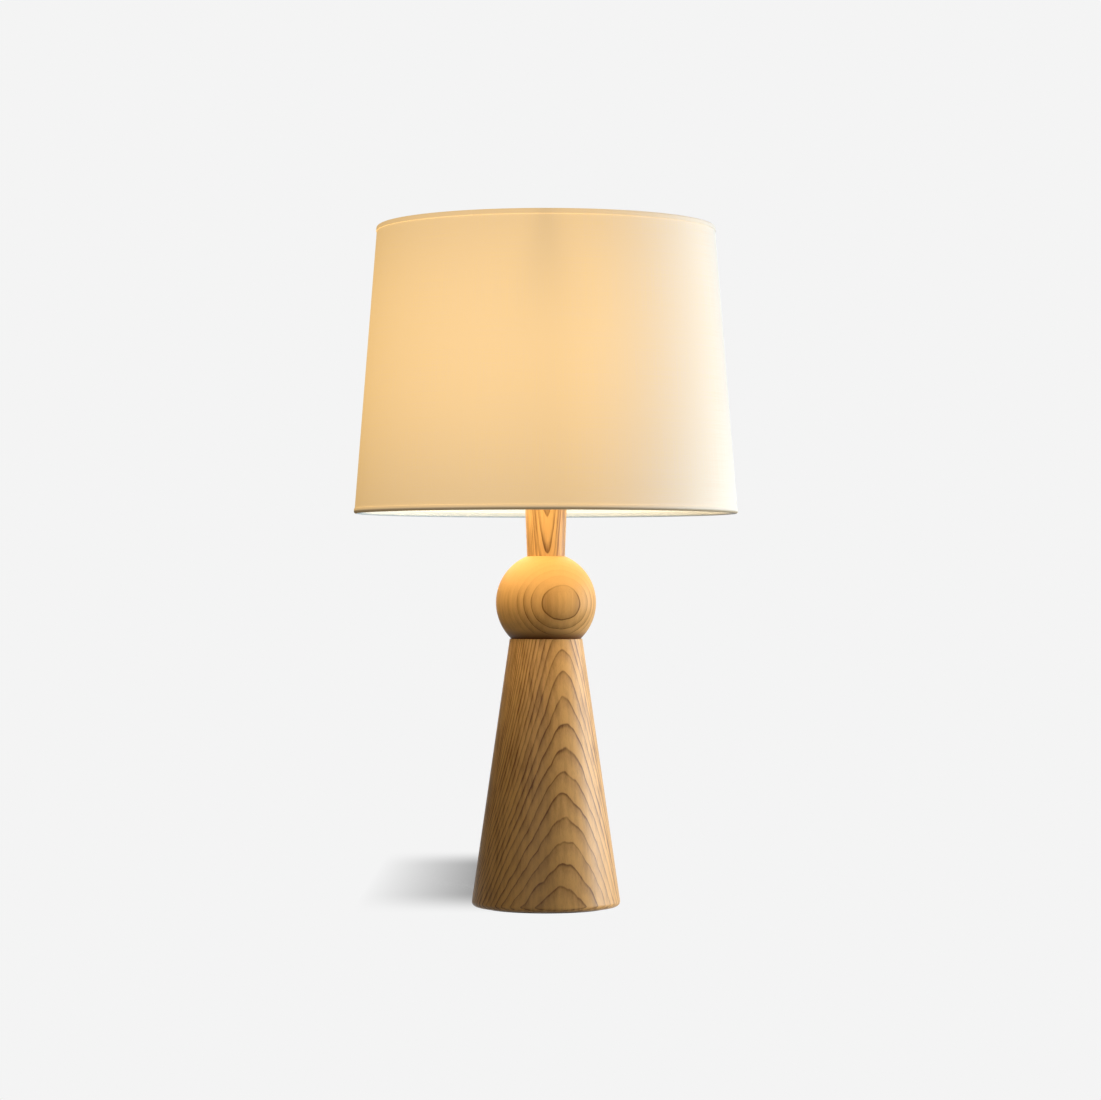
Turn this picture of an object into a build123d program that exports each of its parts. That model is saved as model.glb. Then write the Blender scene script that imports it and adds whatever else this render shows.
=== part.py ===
from build123d import *
import os
from math import cos, hypot, radians, sin, sqrt

# A column table lamp. The stand is three turned pieces of wood, a tapered column, a ball and a short flared
# neck, drawn together by one hollow threaded rod. The rod carries a lampholder with a screw-in bulb, and a
# tapered drum shade hangs on the lampholder by three wire arms. A threaded ring clamps the shade.
# Millimetres, Z up. The origin is on the table, under the middle of the base. The front of the lamp is -Y.

# ---------------------------------------------------------------- driving dimensions: the wooden stand
CONE_FOOT_D = 132.4  # the column's foot, before its edge is rounded
CONE_TOP_D = 64.2
CONE_H = 236.1
FOOT_ROUND = 6.5
TOP_ROUND = 0.6
BALL_D = 88.6
BALL_FOOT_D = 61.4  # the flat that the ball stands on
NECK_FOOT_D = 33.4
NECK_TOP_D = 39.8
NECK_H = 79.5
NECK_LEDGE = 0.1  # how far the ball's upper flat stands out round the neck
BALL_SPIGOT_D = 30.0
NECK_SPIGOT_D = 20.0
SPIGOT_H = 8.0
SPIGOT_END_GAP = 0.3
SPIGOT_FIT = 0.05

# ---------------------------------------------------------------- the hollow foot
FELT_D = 112.0
FELT_T = 3.0
FELT_PROUD = 1.5  # how far the felt stands below the wood
FELT_GAP = 0.3
FELT_CHAMFER = 0.5
FOOT_HOLLOW_D = 96.0
FOOT_HOLLOW_TOP = 36.0  # height of the hollow's ceiling above the table
BALLAST_GAP = 2.0
BALLAST_T = 12.0
BALLAST_CHAMFER = 1.0

# ---------------------------------------------------------------- the threaded rod and what it clamps
ROD_D = 10.0
ROD_BORE_D = 7.0
ROD_CLEARANCE = 0.3
THREAD_FIT = 0.05
ROD_TAIL = 3.2  # the rod's end below its lower nut
ROD_HEAD = 12.0  # the rod's end above the neck, inside the lampholder
NUT_WALL = 2.5
NUT_H = 5.0
NUT_CHAMFER = 0.7
WASHER_RIM = 8.7  # how far the lower washer reaches past the rod's hole
WASHER_T = 2.0
LOCK_RIM = 4.0
LOCK_T = 1.8
LOCK_TEETH = 12
LOCK_NOTCH_R = 0.9
NECK_WASHER_RIM = 5.7
COUNTERBORE_GAP = 1.0
COUNTERBORE_SPARE = 2.0  # room above the upper nut

# ---------------------------------------------------------------- the cord's inlet, at the back
INLET_Z = 14.0
INLET_BORE_D = 7.2
BUSHING_WALL = 1.4
BUSHING_FLANGE_RIM = 2.0
BUSHING_FLANGE_T = 2.0
BUSHING_FIT = 0.1
BUSHING_INNER_LIP = 2.0
SPOTFACE_DEPTH = 1.9
SPOTFACE_GAP = 0.3
BUSHING_ROUND = 0.8

# ---------------------------------------------------------------- the bulb, 60 mm, with a 27 mm screw cap
CAP_D = 26.4
CAP_WALL = 0.4
CAP_H = 20.0  # the cap's straight, threaded length
CAP_TAPER_H = 3.3
CAP_TAPER_END_D = 16.0
CAP_SHOULDER = 0.8
CAP_SHOULDER_H = 1.3
CONTACT_TIP_D = 9.0
CONTACT_TIP_H = 1.2
INSULATOR_H = 1.9
INSULATOR_D = 15.6
INSULATOR_GAP = 0.1
INSULATOR_FOOT_D = 10.0
GLOBE_D = 60.0
GLASS_T = 0.8
GLOBE_CENTRE_UP = 77.0  # the globe's centre above the tip
NECK_TANGENT_DEG = 35.0  # where the globe runs into its neck, below its middle
GLASS_NECK_UP = 29.0  # where the glass neck becomes straight, above the tip
GLASS_FIT = 0.1
GLASS_IN_CAP = 5.0
STEM_FLARE_D = 14.0
STEM_D = 6.4
STEM_FLARE_H = 7.0
STEM_H = 27.0
STEM_ROD_D = 2.4
STEM_ROD_TOP_UP = 84.0
FILAMENTS = 4
FILAMENT_D = 2.2
FILAMENT_FOOT_R = 7.0
FILAMENT_HEAD_R = 11.5
FILAMENT_FOOT_UP = 44.0
FILAMENT_HEAD_UP = 80.0
SUPPORT_WIRE_D = 0.8
WELD_GAP = 0.05
DRIVER_GAP = 0.5
DRIVER_BOARD_T = 1.6
DRIVER_UP = 10.0
CAPACITOR_D = 8.0
CAPACITOR_H = 8.0

# ---------------------------------------------------------------- the lampholder
SHELL_FIT = 0.05  # round the bulb's cap
SHELL_WALL = 0.4
SHELL_H = 28.5
SHELL_HOLE_D = 14.0
SKIRT_AIR = 2.15  # between the screw shell and the skirt
SLEEVE_WALL = 1.5
SKIRT_WALL = 4.0
SKIRT_TOP_UP = 36.0  # the skirt's top above the holder's shoulder
SKIRT_LIP_T = 2.0
SKIRT_LIP_GAP = 1.0
SKIRT_CHAMFER = 0.8
SHOULDER_RIM = 3.7
SHOULDER_T = 3.5
SLEEVE_H = 6.0
SLEEVE_FIT = 0.1
HOLDER_CAP_H = 21.0
HOLDER_CAP_WALL = 2.1
HOLDER_CAP_FLOOR = 8.0
HOLDER_CAP_ROUND = 3.0
INSERT_GAP = 0.3
INSERT_UP = 26.0  # the insert's top above the neck
INSERT_WALL = 3.5
INSERT_DISC_T = 8.0
CONTACT_RISE = 2.0  # from the insert's top to the bulb's tip
CONTACT_GAP = 0.3
CONTACT_LEAF_T = 0.5
CONTACT_LEAF_W = 5.0
CONTACT_LEAF_L = 10.0
RIVET_D = 5.0
RIVET_H = 4.0
SIDE_CONTACT_X = 11.0
SIDE_CONTACT_W = 4.0
SIDE_CONTACT_T = 0.5
SIDE_CONTACT_TAIL = 4.0
SLOT_GAP = 0.2
TERMINAL_X = 8.0
TERMINAL_Y = 4.0
TERMINAL_HEAD_D = 5.4
TERMINAL_HEAD_H = 2.5
TERMINAL_SHANK_D = 3.0
TERMINAL_SHANK_L = 6.0
SCREW_SLOT_W = 0.8
SCREW_SLOT_DEPTH = 1.0
GRUB_D = 3.0
GRUB_L = 10.0
GRUB_UP = 4.5

# ---------------------------------------------------------------- the ring that clamps the shade
RING_THREAD_FIT = 0.07
RING_WALL = 5.13
RING_H = 8.0
RING_GRIPS = 24
RING_GRIP_R = 1.1
RING_CHAMFER = 0.6
SLIP_T = 0.8
SLIP_BORE_GAP = 0.5
SLIP_SET_BACK = 0.5

# ---------------------------------------------------------------- the shade
SHADE_FOOT_D = 340.0  # over the hem
SHADE_TOP_D = 300.0
SHADE_H = 254.0
SHADE_DROP = 66.5  # the shade's lower edge below the ring that carries it
HEM_T = 0.5
HEM_LEG = 4.0
HEM_GAP = 0.1
FABRIC_T = 0.6
LINER_T = 0.5
LAYER_GAP = 0.05
FRAME_WIRE_D = 4.0
SEAM_W = 12.0
SEAM_T = 0.3
SEAM_END_GAP = 3.0
FITTER_HOLE_GAP = 0.7
FITTER_RIM = 7.0
FITTER_T = 1.5
ARMS = 3
ARM_WIRE_D = 3.5
ARM_START_GAP = 2.5
ARM_FOOT_RUN = 10.5
ARM_HEAD_RUN = 9.0
ARM_BEND_R = 8.0
ARM_NOTCH_GAP = 0.3  # round an arm, where the top hem is cut for it
FRONT_DEG = -90.0

# ---------------------------------------------------------------- worked out: the stand
BALL_R = BALL_D / 2
NECK_SEAT_R = NECK_FOOT_D / 2 + NECK_LEDGE
CONE_Z = FELT_PROUD
BALL_Z = CONE_Z + CONE_H
BALL_CENTRE_Z = BALL_Z + sqrt(BALL_R**2 - (BALL_FOOT_D / 2) ** 2)
NECK_Z = BALL_CENTRE_Z + sqrt(BALL_R**2 - NECK_SEAT_R**2)
HOLDER_Z = NECK_Z + NECK_H
ROD_HOLE_R = ROD_D / 2 + ROD_CLEARANCE
NUT_BORE_R = ROD_D / 2 + THREAD_FIT
NUT_FLAT_R = ROD_D / 2 + NUT_WALL
BALLAST_Z = FOOT_HOLLOW_TOP - BALLAST_T
WASHER_Z = BALLAST_Z - WASHER_T
LOCK_Z = WASHER_Z - LOCK_T
NUT_Z = LOCK_Z - NUT_H
ROD_Z = NUT_Z - ROD_TAIL
ROD_TOP_Z = HOLDER_Z + ROD_HEAD
NECK_WASHER_R = ROD_HOLE_R + NECK_WASHER_RIM
NECK_WASHER_Z = HOLDER_Z - COUNTERBORE_SPARE - NUT_H - WASHER_T
BUSHING_R = INLET_BORE_D / 2 + BUSHING_WALL
BUSHING_FLANGE_R = BUSHING_R + BUSHING_FLANGE_RIM
CONE_SLOPE = (CONE_FOOT_D - CONE_TOP_D) / 2 / CONE_H
SPOTFACE_Y = CONE_FOOT_D / 2 - CONE_SLOPE * (INLET_Z - CONE_Z) - SPOTFACE_DEPTH

# ---------------------------------------------------------------- worked out: holder, bulb and ring
CAP_R = CAP_D / 2
SHELL_BORE_R = CAP_R + SHELL_FIT
SHELL_R = SHELL_BORE_R + SHELL_WALL
SKIRT_BORE_R = SHELL_R + SKIRT_AIR
SLEEVE_R = SKIRT_BORE_R + SLEEVE_WALL
SKIRT_R = SKIRT_BORE_R + SKIRT_WALL
SHOULDER_R = SKIRT_R + SHOULDER_RIM
HOLDER_CAP_BORE_R = SLEEVE_R + SLEEVE_FIT
HOLDER_CAP_R = HOLDER_CAP_BORE_R + HOLDER_CAP_WALL
SHOULDER_Z = HOLDER_Z + HOLDER_CAP_H
FITTER_Z = SHOULDER_Z + SHOULDER_T
SKIRT_TOP_Z = SHOULDER_Z + SKIRT_TOP_UP
INSERT_R = SKIRT_BORE_R - INSERT_GAP
INSERT_Z = HOLDER_Z + HOLDER_CAP_FLOOR
INSERT_TOP_Z = HOLDER_Z + INSERT_UP
WIRE_ROOM_TOP_Z = INSERT_TOP_Z - INSERT_DISC_T
TIP_Z = INSERT_TOP_Z + CONTACT_RISE
INSULATOR_Z = TIP_Z + CONTACT_TIP_H
CAP_Z = INSULATOR_Z + INSULATOR_H + INSULATOR_GAP
CAP_THREAD_Z = CAP_Z + CAP_TAPER_H
CAP_TOP_Z = CAP_THREAD_Z + CAP_H
GLOBE_Z = TIP_Z + GLOBE_CENTRE_UP
GLASS_NECK_R = CAP_R - CAP_WALL - GLASS_FIT
GLASS_FOOT_Z = CAP_TOP_Z - GLASS_IN_CAP
SLIP_Z = FITTER_Z + FITTER_T
RING_Z = SLIP_Z + SLIP_T
RING_BORE_R = SKIRT_R + RING_THREAD_FIT
RING_R = RING_BORE_R + RING_WALL
FITTER_HOLE_R = SKIRT_R + FITTER_HOLE_GAP
FITTER_R = RING_R + FITTER_RIM

# ---------------------------------------------------------------- worked out: the shade
SHADE_Z = FITTER_Z - SHADE_DROP
SHADE_TOP_Z = SHADE_Z + SHADE_H
PANEL_Z = SHADE_Z + HEM_T
PANEL_TOP_Z = SHADE_TOP_Z - HEM_T
SHADE_SLOPE = (SHADE_FOOT_D - SHADE_TOP_D) / 2 / SHADE_H
WIRE_R = FRAME_WIRE_D / 2
ARM_R = ARM_WIRE_D / 2
FABRIC_DEPTH = HEM_T + HEM_GAP
LINER_DEPTH = FABRIC_DEPTH + FABRIC_T + LAYER_GAP
SEAM_DEPTH = LINER_DEPTH + LINER_T + LAYER_GAP
FRAME_DEPTH = LINER_DEPTH + LINER_T + LAYER_GAP + WIRE_R * hypot(1, SHADE_SLOPE)
HEM_DEPTH = FRAME_DEPTH + WIRE_R + HEM_GAP
FOOT_WIRE_Z = PANEL_Z + HEM_GAP + WIRE_R
TOP_WIRE_Z = PANEL_TOP_Z - HEM_GAP - WIRE_R

BASE = (Align.CENTER, Align.CENTER, Align.MIN)


# ---------------------------------------------------------------- shared shapes
def post(radius, bottom, top):
    """A round bar on the lamp's axis, between two heights."""
    return Pos(0, 0, bottom) * Cylinder(radius, top - bottom, align=BASE)


def ring(outer, inner, bottom, top):
    """A plain ring round the lamp's axis."""
    return post(outer, bottom, top) - post(inner, bottom, top)


def turned(*outline):
    """A solid turned about the lamp's axis, from corners given as (radius, height)."""
    return revolve(Plane.XZ * make_face(Polyline(*outline, close=True)), Axis.Z)


def backward(radius, start, end):
    """A round bar along Y at the height of the cord's inlet."""
    plane = Plane(origin=(0, start, INLET_Z), z_dir=(0, 1, 0))
    return plane * Cylinder(radius, end - start, align=BASE)


def wall_radius(height, depth):
    """Radius of the shade's wall at a height, a depth in from its outermost face."""
    return SHADE_FOOT_D / 2 - SHADE_SLOPE * (height - SHADE_Z) - depth


def shade_skin(depth, thickness, bottom, top):
    """One layer of the shade's wall."""
    inner = depth + thickness
    return turned(
        (wall_radius(bottom, depth), bottom),
        (wall_radius(top, depth), top),
        (wall_radius(top, inner), top),
        (wall_radius(bottom, inner), bottom),
    )


def straight_wire(start, end, radius):
    """A straight round wire between two points."""
    run = Vector(*end) - Vector(*start)
    return Plane(origin=start, z_dir=run) * Cylinder(radius, run.length, align=BASE)


# ---------------------------------------------------------------- the stand
def felt_pad():
    pad = post(FELT_D / 2, 0, FELT_T)
    return chamfer(pad.edges().group_by(Axis.Z)[0], FELT_CHAMFER)


def base_cone():
    cone = Pos(0, 0, CONE_Z) * Cone(CONE_FOOT_D / 2, CONE_TOP_D / 2, CONE_H, align=BASE)
    cone = fillet(cone.edges().group_by(Axis.Z)[0], FOOT_ROUND)
    cone = fillet(cone.edges().group_by(Axis.Z)[-1], TOP_ROUND)
    cone -= post(FELT_D / 2 + FELT_GAP, 0, FELT_T)
    cone -= post(FOOT_HOLLOW_D / 2, 0, FOOT_HOLLOW_TOP)
    cone -= post(ROD_HOLE_R, 0, BALL_Z)
    cone -= post(BALL_SPIGOT_D / 2 + SPIGOT_FIT, BALL_Z - SPIGOT_H - SPIGOT_END_GAP, BALL_Z)
    cone -= backward(BUSHING_R + BUSHING_FIT, 0, CONE_FOOT_D)
    cone -= backward(BUSHING_FLANGE_R + SPOTFACE_GAP, SPOTFACE_Y, CONE_FOOT_D)
    return cone


def base_ball():
    ball = Pos(0, 0, BALL_CENTRE_Z) * Sphere(BALL_R)
    ball &= post(BALL_R, BALL_Z, NECK_Z)
    ball += post(BALL_SPIGOT_D / 2, BALL_Z - SPIGOT_H, BALL_Z)
    ball -= post(ROD_HOLE_R, BALL_Z - SPIGOT_H, NECK_Z)
    ball -= post(NECK_SPIGOT_D / 2 + SPIGOT_FIT, NECK_Z - SPIGOT_H - SPIGOT_END_GAP, NECK_Z)
    return ball


def neck_column():
    neck = Pos(0, 0, NECK_Z) * Cone(NECK_FOOT_D / 2, NECK_TOP_D / 2, NECK_H, align=BASE)
    neck = fillet(neck.edges().group_by(Axis.Z)[-1], TOP_ROUND)
    neck += post(NECK_SPIGOT_D / 2, NECK_Z - SPIGOT_H, NECK_Z)
    neck -= post(ROD_HOLE_R, NECK_Z - SPIGOT_H, HOLDER_Z)
    neck -= post(NECK_WASHER_R + COUNTERBORE_GAP, NECK_WASHER_Z, HOLDER_Z)
    return neck


def ballast_plate():
    plate = ring(FOOT_HOLLOW_D / 2 - BALLAST_GAP, ROD_HOLE_R, BALLAST_Z, FOOT_HOLLOW_TOP)
    return chamfer(plate.edges().group_by(Axis.Z)[0], BALLAST_CHAMFER)


def tie_rod():
    return ring(ROD_D / 2, ROD_BORE_D / 2, ROD_Z, ROD_TOP_Z)


def bottom_washer():
    return ring(ROD_HOLE_R + WASHER_RIM, ROD_HOLE_R, WASHER_Z, BALLAST_Z)


def lock_washer():
    washer = ring(ROD_HOLE_R + LOCK_RIM, ROD_HOLE_R, LOCK_Z, WASHER_Z)
    for notch in PolarLocations(ROD_HOLE_R + LOCK_RIM, LOCK_TEETH):
        washer -= notch * post(LOCK_NOTCH_R, LOCK_Z, WASHER_Z)
    return washer


def hex_nut(bottom):
    """A hexagon nut on the rod, with its corners turned off."""
    corner = NUT_FLAT_R / cos(radians(30))
    flats = RegularPolygon(NUT_FLAT_R, 6, major_radius=False)
    body = Pos(0, 0, bottom) * extrude(flats, NUT_H)
    body &= turned(
        (0, bottom),
        (corner - NUT_CHAMFER, bottom),
        (corner, bottom + NUT_CHAMFER),
        (corner, bottom + NUT_H - NUT_CHAMFER),
        (corner - NUT_CHAMFER, bottom + NUT_H),
        (0, bottom + NUT_H),
    )
    return body - post(NUT_BORE_R, bottom, bottom + NUT_H)


def neck_washer():
    return ring(NECK_WASHER_R, ROD_HOLE_R, NECK_WASHER_Z, NECK_WASHER_Z + WASHER_T)


def cord_bushing():
    inner_end = FOOT_HOLLOW_D / 2 - BUSHING_INNER_LIP
    bushing = backward(BUSHING_R, inner_end, SPOTFACE_Y)
    flange = backward(BUSHING_FLANGE_R, SPOTFACE_Y, SPOTFACE_Y + BUSHING_FLANGE_T)
    flange = fillet(flange.edges().group_by(Axis.Y)[-1], BUSHING_ROUND)
    bore = backward(INLET_BORE_D / 2, inner_end, SPOTFACE_Y + BUSHING_FLANGE_T)
    return bushing + flange - bore


# ---------------------------------------------------------------- the lampholder
def holder_cap():
    foot = HOLDER_CAP_R - HOLDER_CAP_ROUND
    shell = turned(
        (0, HOLDER_Z),
        (foot, HOLDER_Z),
        (HOLDER_CAP_R, HOLDER_Z + HOLDER_CAP_ROUND),
        (HOLDER_CAP_R, SHOULDER_Z),
        (0, SHOULDER_Z),
    )
    shell -= post(HOLDER_CAP_BORE_R, INSERT_Z, SHOULDER_Z)
    shell -= post(NUT_BORE_R, HOLDER_Z, INSERT_Z)
    grub_plane = Plane(origin=(0, 0, HOLDER_Z + GRUB_UP), z_dir=(0, 1, 0))
    shell -= grub_plane * Cylinder(GRUB_D / 2 + THREAD_FIT, HOLDER_CAP_R, align=BASE)
    return shell


def grub_screw():
    start = ROD_D / 2 + WELD_GAP
    plane = Plane(origin=(0, start, HOLDER_Z + GRUB_UP), z_dir=(0, 1, 0))
    screw = plane * Cylinder(GRUB_D / 2, GRUB_L, align=BASE)
    slot_y = start + GRUB_L - SCREW_SLOT_DEPTH / 2
    slot = Pos(0, slot_y, HOLDER_Z + GRUB_UP) * Box(GRUB_D, SCREW_SLOT_DEPTH, SCREW_SLOT_W)
    return screw - slot


def terminal_spots():
    """Where the two terminal screws stand, as (x, y)."""
    return [(TERMINAL_X, -TERMINAL_Y), (-TERMINAL_X, TERMINAL_Y)]


def holder_insert():
    body = post(INSERT_R, INSERT_Z, INSERT_TOP_Z)
    body -= post(INSERT_R - INSERT_WALL, INSERT_Z, WIRE_ROOM_TOP_Z)
    body -= post(RIVET_D / 2 + THREAD_FIT, INSERT_TOP_Z - RIVET_H, INSERT_TOP_Z)
    slot_x = SIDE_CONTACT_X + SIDE_CONTACT_T / 2
    slot_length = SIDE_CONTACT_T + 2 * SLOT_GAP
    slot = Box(slot_length, SIDE_CONTACT_W + 2 * SLOT_GAP, INSERT_DISC_T, align=BASE)
    body -= Pos(slot_x, 0, WIRE_ROOM_TOP_Z) * slot
    hole_top = WIRE_ROOM_TOP_Z + TERMINAL_SHANK_L
    for x, y in terminal_spots():
        body -= Pos(x, y, 0) * post(TERMINAL_SHANK_D / 2 + THREAD_FIT, WIRE_ROOM_TOP_Z, hole_top)
    return body


def terminal_screws():
    screws = []
    head_z = WIRE_ROOM_TOP_Z - TERMINAL_HEAD_H
    for x, y in terminal_spots():
        screw = post(TERMINAL_HEAD_D / 2, head_z, WIRE_ROOM_TOP_Z)
        screw += post(TERMINAL_SHANK_D / 2, WIRE_ROOM_TOP_Z, WIRE_ROOM_TOP_Z + TERMINAL_SHANK_L)
        screw -= Pos(0, 0, head_z) * Box(TERMINAL_HEAD_D, SCREW_SLOT_W, SCREW_SLOT_DEPTH, align=BASE)
        screws.append(Pos(x, y, 0) * screw)
    return screws


def centre_contact():
    """A rivet in the insert and the arched leaf that meets the bulb's tip."""
    rivet = post(RIVET_D / 2, INSERT_TOP_Z - RIVET_H, INSERT_TOP_Z)
    half = CONTACT_LEAF_L / 2
    rise = CONTACT_RISE - CONTACT_GAP
    inner = half - CONTACT_LEAF_T
    arch = make_face(
        ThreePointArc((-half, 0), (0, rise), (half, 0))
        + ThreePointArc((inner, 0), (0, rise - CONTACT_LEAF_T), (-inner, 0))
        + Line((half, 0), (inner, 0))
        + Line((-inner, 0), (-half, 0))
    )
    plane = Plane(origin=(0, CONTACT_LEAF_W / 2, INSERT_TOP_Z), x_dir=(1, 0, 0), z_dir=(0, -1, 0))
    leaf = extrude(plane * arch, CONTACT_LEAF_W)
    return rivet + leaf + post(RIVET_D / 4, INSERT_TOP_Z, INSERT_TOP_Z + rise - CONTACT_LEAF_T / 2)


def side_contact():
    bottom = WIRE_ROOM_TOP_Z - SIDE_CONTACT_TAIL
    strip = Box(SIDE_CONTACT_T, SIDE_CONTACT_W, INSERT_TOP_Z - bottom, align=BASE)
    return Pos(SIDE_CONTACT_X + SIDE_CONTACT_T / 2, 0, bottom) * strip


def screw_shell():
    shell = ring(SHELL_R, SHELL_BORE_R, INSERT_TOP_Z, INSERT_TOP_Z + SHELL_H)
    return shell + ring(SHELL_R, SHELL_HOLE_D / 2, INSERT_TOP_Z, INSERT_TOP_Z + SHELL_WALL)


def holder_skirt():
    sleeve_z = SHOULDER_Z - SLEEVE_H
    lip_z = SKIRT_TOP_Z - SKIRT_LIP_T
    lip_r = CAP_R + SKIRT_LIP_GAP
    return turned(
        (SKIRT_BORE_R, sleeve_z),
        (SLEEVE_R, sleeve_z),
        (SLEEVE_R, SHOULDER_Z),
        (SHOULDER_R, SHOULDER_Z),
        (SHOULDER_R, FITTER_Z),
        (SKIRT_R, FITTER_Z),
        (SKIRT_R, SKIRT_TOP_Z - SKIRT_CHAMFER),
        (SKIRT_R - SKIRT_CHAMFER, SKIRT_TOP_Z),
        (lip_r, SKIRT_TOP_Z),
        (lip_r, lip_z),
        (SKIRT_BORE_R, lip_z),
    )


# ---------------------------------------------------------------- the ring that clamps the shade
def slip_washer():
    return ring(RING_R - SLIP_SET_BACK, SKIRT_R + SLIP_BORE_GAP, SLIP_Z, RING_Z)


def shade_ring():
    body = ring(RING_R, RING_BORE_R, RING_Z, RING_Z + RING_H)
    body = chamfer(body.edges().group_by(Axis.Z)[-1].sort_by(SortBy.RADIUS)[-1], RING_CHAMFER)
    for groove in PolarLocations(RING_R, RING_GRIPS):
        body -= groove * post(RING_GRIP_R, RING_Z, RING_Z + RING_H)
    return body


# ---------------------------------------------------------------- the shade
def fitter_ring():
    return ring(FITTER_R, FITTER_HOLE_R, FITTER_Z, FITTER_Z + FITTER_T)


def frame_ring(height, wire_radius):
    """A hoop of wire inside the shade's wall."""
    return Pos(0, 0, height) * Torus(wall_radius(height, FRAME_DEPTH), wire_radius)


def arm_turns():
    """The turns that place each arm round the lamp, the first at the front."""
    return [Rot(0, 0, FRONT_DEG + 360 / ARMS * n) for n in range(ARMS)]


def shade_arms():
    foot_r = RING_R + ARM_START_GAP
    foot_z = FITTER_Z + FITTER_T + ARM_R
    hoop_r = wall_radius(TOP_WIRE_Z, FRAME_DEPTH)
    route = FilletPolyline(
        (foot_r, foot_z),
        (foot_r + ARM_FOOT_RUN, foot_z),
        (hoop_r - WIRE_R - ARM_HEAD_RUN, TOP_WIRE_Z),
        (hoop_r, TOP_WIRE_Z),
        radius=ARM_BEND_R,
    )
    route = Plane.XZ * route
    arm = sweep(Plane(origin=route @ 0, z_dir=route % 0) * Circle(ARM_R), path=route)
    arm -= frame_ring(TOP_WIRE_Z, WIRE_R + WELD_GAP)
    arm = arm.solids().sort_by(SortBy.VOLUME)[-1]
    return [turn * arm for turn in arm_turns()]


def shade_liner():
    return shade_skin(LINER_DEPTH, LINER_T, PANEL_Z + HEM_GAP, PANEL_TOP_Z - HEM_GAP)


def shade_fabric():
    return shade_skin(FABRIC_DEPTH, FABRIC_T, PANEL_Z + HEM_GAP, PANEL_TOP_Z - HEM_GAP)


def seam_strip():
    """The strip glued inside the liner where its ends meet, at the back."""
    bottom = FOOT_WIRE_Z + WIRE_R + SEAM_END_GAP
    top = TOP_WIRE_Z - WIRE_R - SEAM_END_GAP
    skin = shade_skin(SEAM_DEPTH, SEAM_T, bottom, top)
    rear = Box(SEAM_W, SHADE_FOOT_D, SHADE_H, align=(Align.CENTER, Align.MIN, Align.MIN))
    return skin & Pos(0, 0, bottom) * rear


def hem(edge_z, inward):
    """A strip folded round one edge of the wall and its hoop. Inward is 1 at the foot and -1 at the top."""
    fold = edge_z + inward * HEM_T
    leg = edge_z + inward * (HEM_T + HEM_LEG)
    back = HEM_DEPTH + HEM_T
    return turned(
        (wall_radius(edge_z, 0), edge_z),
        (wall_radius(leg, 0), leg),
        (wall_radius(leg, HEM_T), leg),
        (wall_radius(fold, HEM_T), fold),
        (wall_radius(fold, HEM_DEPTH), fold),
        (wall_radius(leg, HEM_DEPTH), leg),
        (wall_radius(leg, back), leg),
        (wall_radius(edge_z, back), edge_z),
    )


def top_hem():
    strip = hem(SHADE_TOP_Z, -1)
    inner = wall_radius(TOP_WIRE_Z, HEM_DEPTH + HEM_LEG)
    reach = wall_radius(TOP_WIRE_Z, FRAME_DEPTH) - inner
    height = HEM_LEG + HEM_GAP
    notch = Box(reach, ARM_WIRE_D + 2 * ARM_NOTCH_GAP, height, align=(Align.MIN, Align.CENTER, Align.MAX))
    for turn in arm_turns():
        strip -= turn * Pos(inner, 0, PANEL_TOP_Z) * notch
    return strip


def foot_hem():
    return hem(SHADE_Z, 1)


# ---------------------------------------------------------------- the bulb
def bulb_contact():
    tip = post(CONTACT_TIP_D / 2, TIP_Z, INSULATOR_Z)
    return chamfer(tip.edges().group_by(Axis.Z)[0], CONTACT_TIP_H / 2)


def bulb_insulator():
    height = INSULATOR_H
    return Pos(0, 0, INSULATOR_Z) * Cone(INSULATOR_FOOT_D / 2, INSULATOR_D / 2, height, align=BASE)


def cap_outline(depth):
    """Corners of the cap's outer face, a depth in from it, from the bottom up."""
    return [
        (CAP_TAPER_END_D / 2 - depth, CAP_Z + depth),
        (CAP_R - CAP_SHOULDER - depth, CAP_THREAD_Z - CAP_SHOULDER_H + depth),
        (CAP_R - depth, CAP_THREAD_Z),
        (CAP_R - depth, CAP_TOP_Z),
    ]


def bulb_cap():
    outer = turned((0, CAP_Z), *cap_outline(0), (0, CAP_TOP_Z))
    return outer - turned((0, CAP_Z + CAP_WALL), *cap_outline(CAP_WALL), (0, CAP_TOP_Z))


def bulb_shape(depth, bottom):
    """The bulb's globe and neck, a depth in from the glass's outer face."""
    globe = GLOBE_D / 2 - depth
    neck = GLASS_NECK_R - depth
    angle = radians(NECK_TANGENT_DEG)
    top = (0, GLOBE_Z + globe)
    turn = (globe * cos(angle), GLOBE_Z - globe * sin(angle))
    neck_top = (neck, TIP_Z + GLASS_NECK_UP)
    outline = ThreePointArc(top, (globe, GLOBE_Z), turn)
    outline += Spline(turn, neck_top, tangents=[(-sin(angle), -cos(angle)), (0, -1)])
    outline += Polyline(neck_top, (neck, bottom), (0, bottom), top)
    return revolve(Plane.XZ * make_face(outline), Axis.Z)


def bulb_glass():
    return bulb_shape(0, GLASS_FOOT_Z) - bulb_shape(GLASS_T, GLASS_FOOT_Z)


def bulb_stem():
    flare_top = GLASS_FOOT_Z + STEM_FLARE_H
    stem = Pos(0, 0, GLASS_FOOT_Z) * Cone(STEM_FLARE_D / 2, STEM_D / 2, STEM_FLARE_H, align=BASE)
    stem += ring(GLASS_NECK_R - GLASS_T - WELD_GAP, STEM_D / 2, GLASS_FOOT_Z, GLASS_FOOT_Z + GLASS_T)
    stem += post(STEM_D / 2, flare_top, GLASS_FOOT_Z + STEM_H)
    return stem + post(STEM_ROD_D / 2, GLASS_FOOT_Z + STEM_H, TIP_Z + STEM_ROD_TOP_UP)


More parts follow.
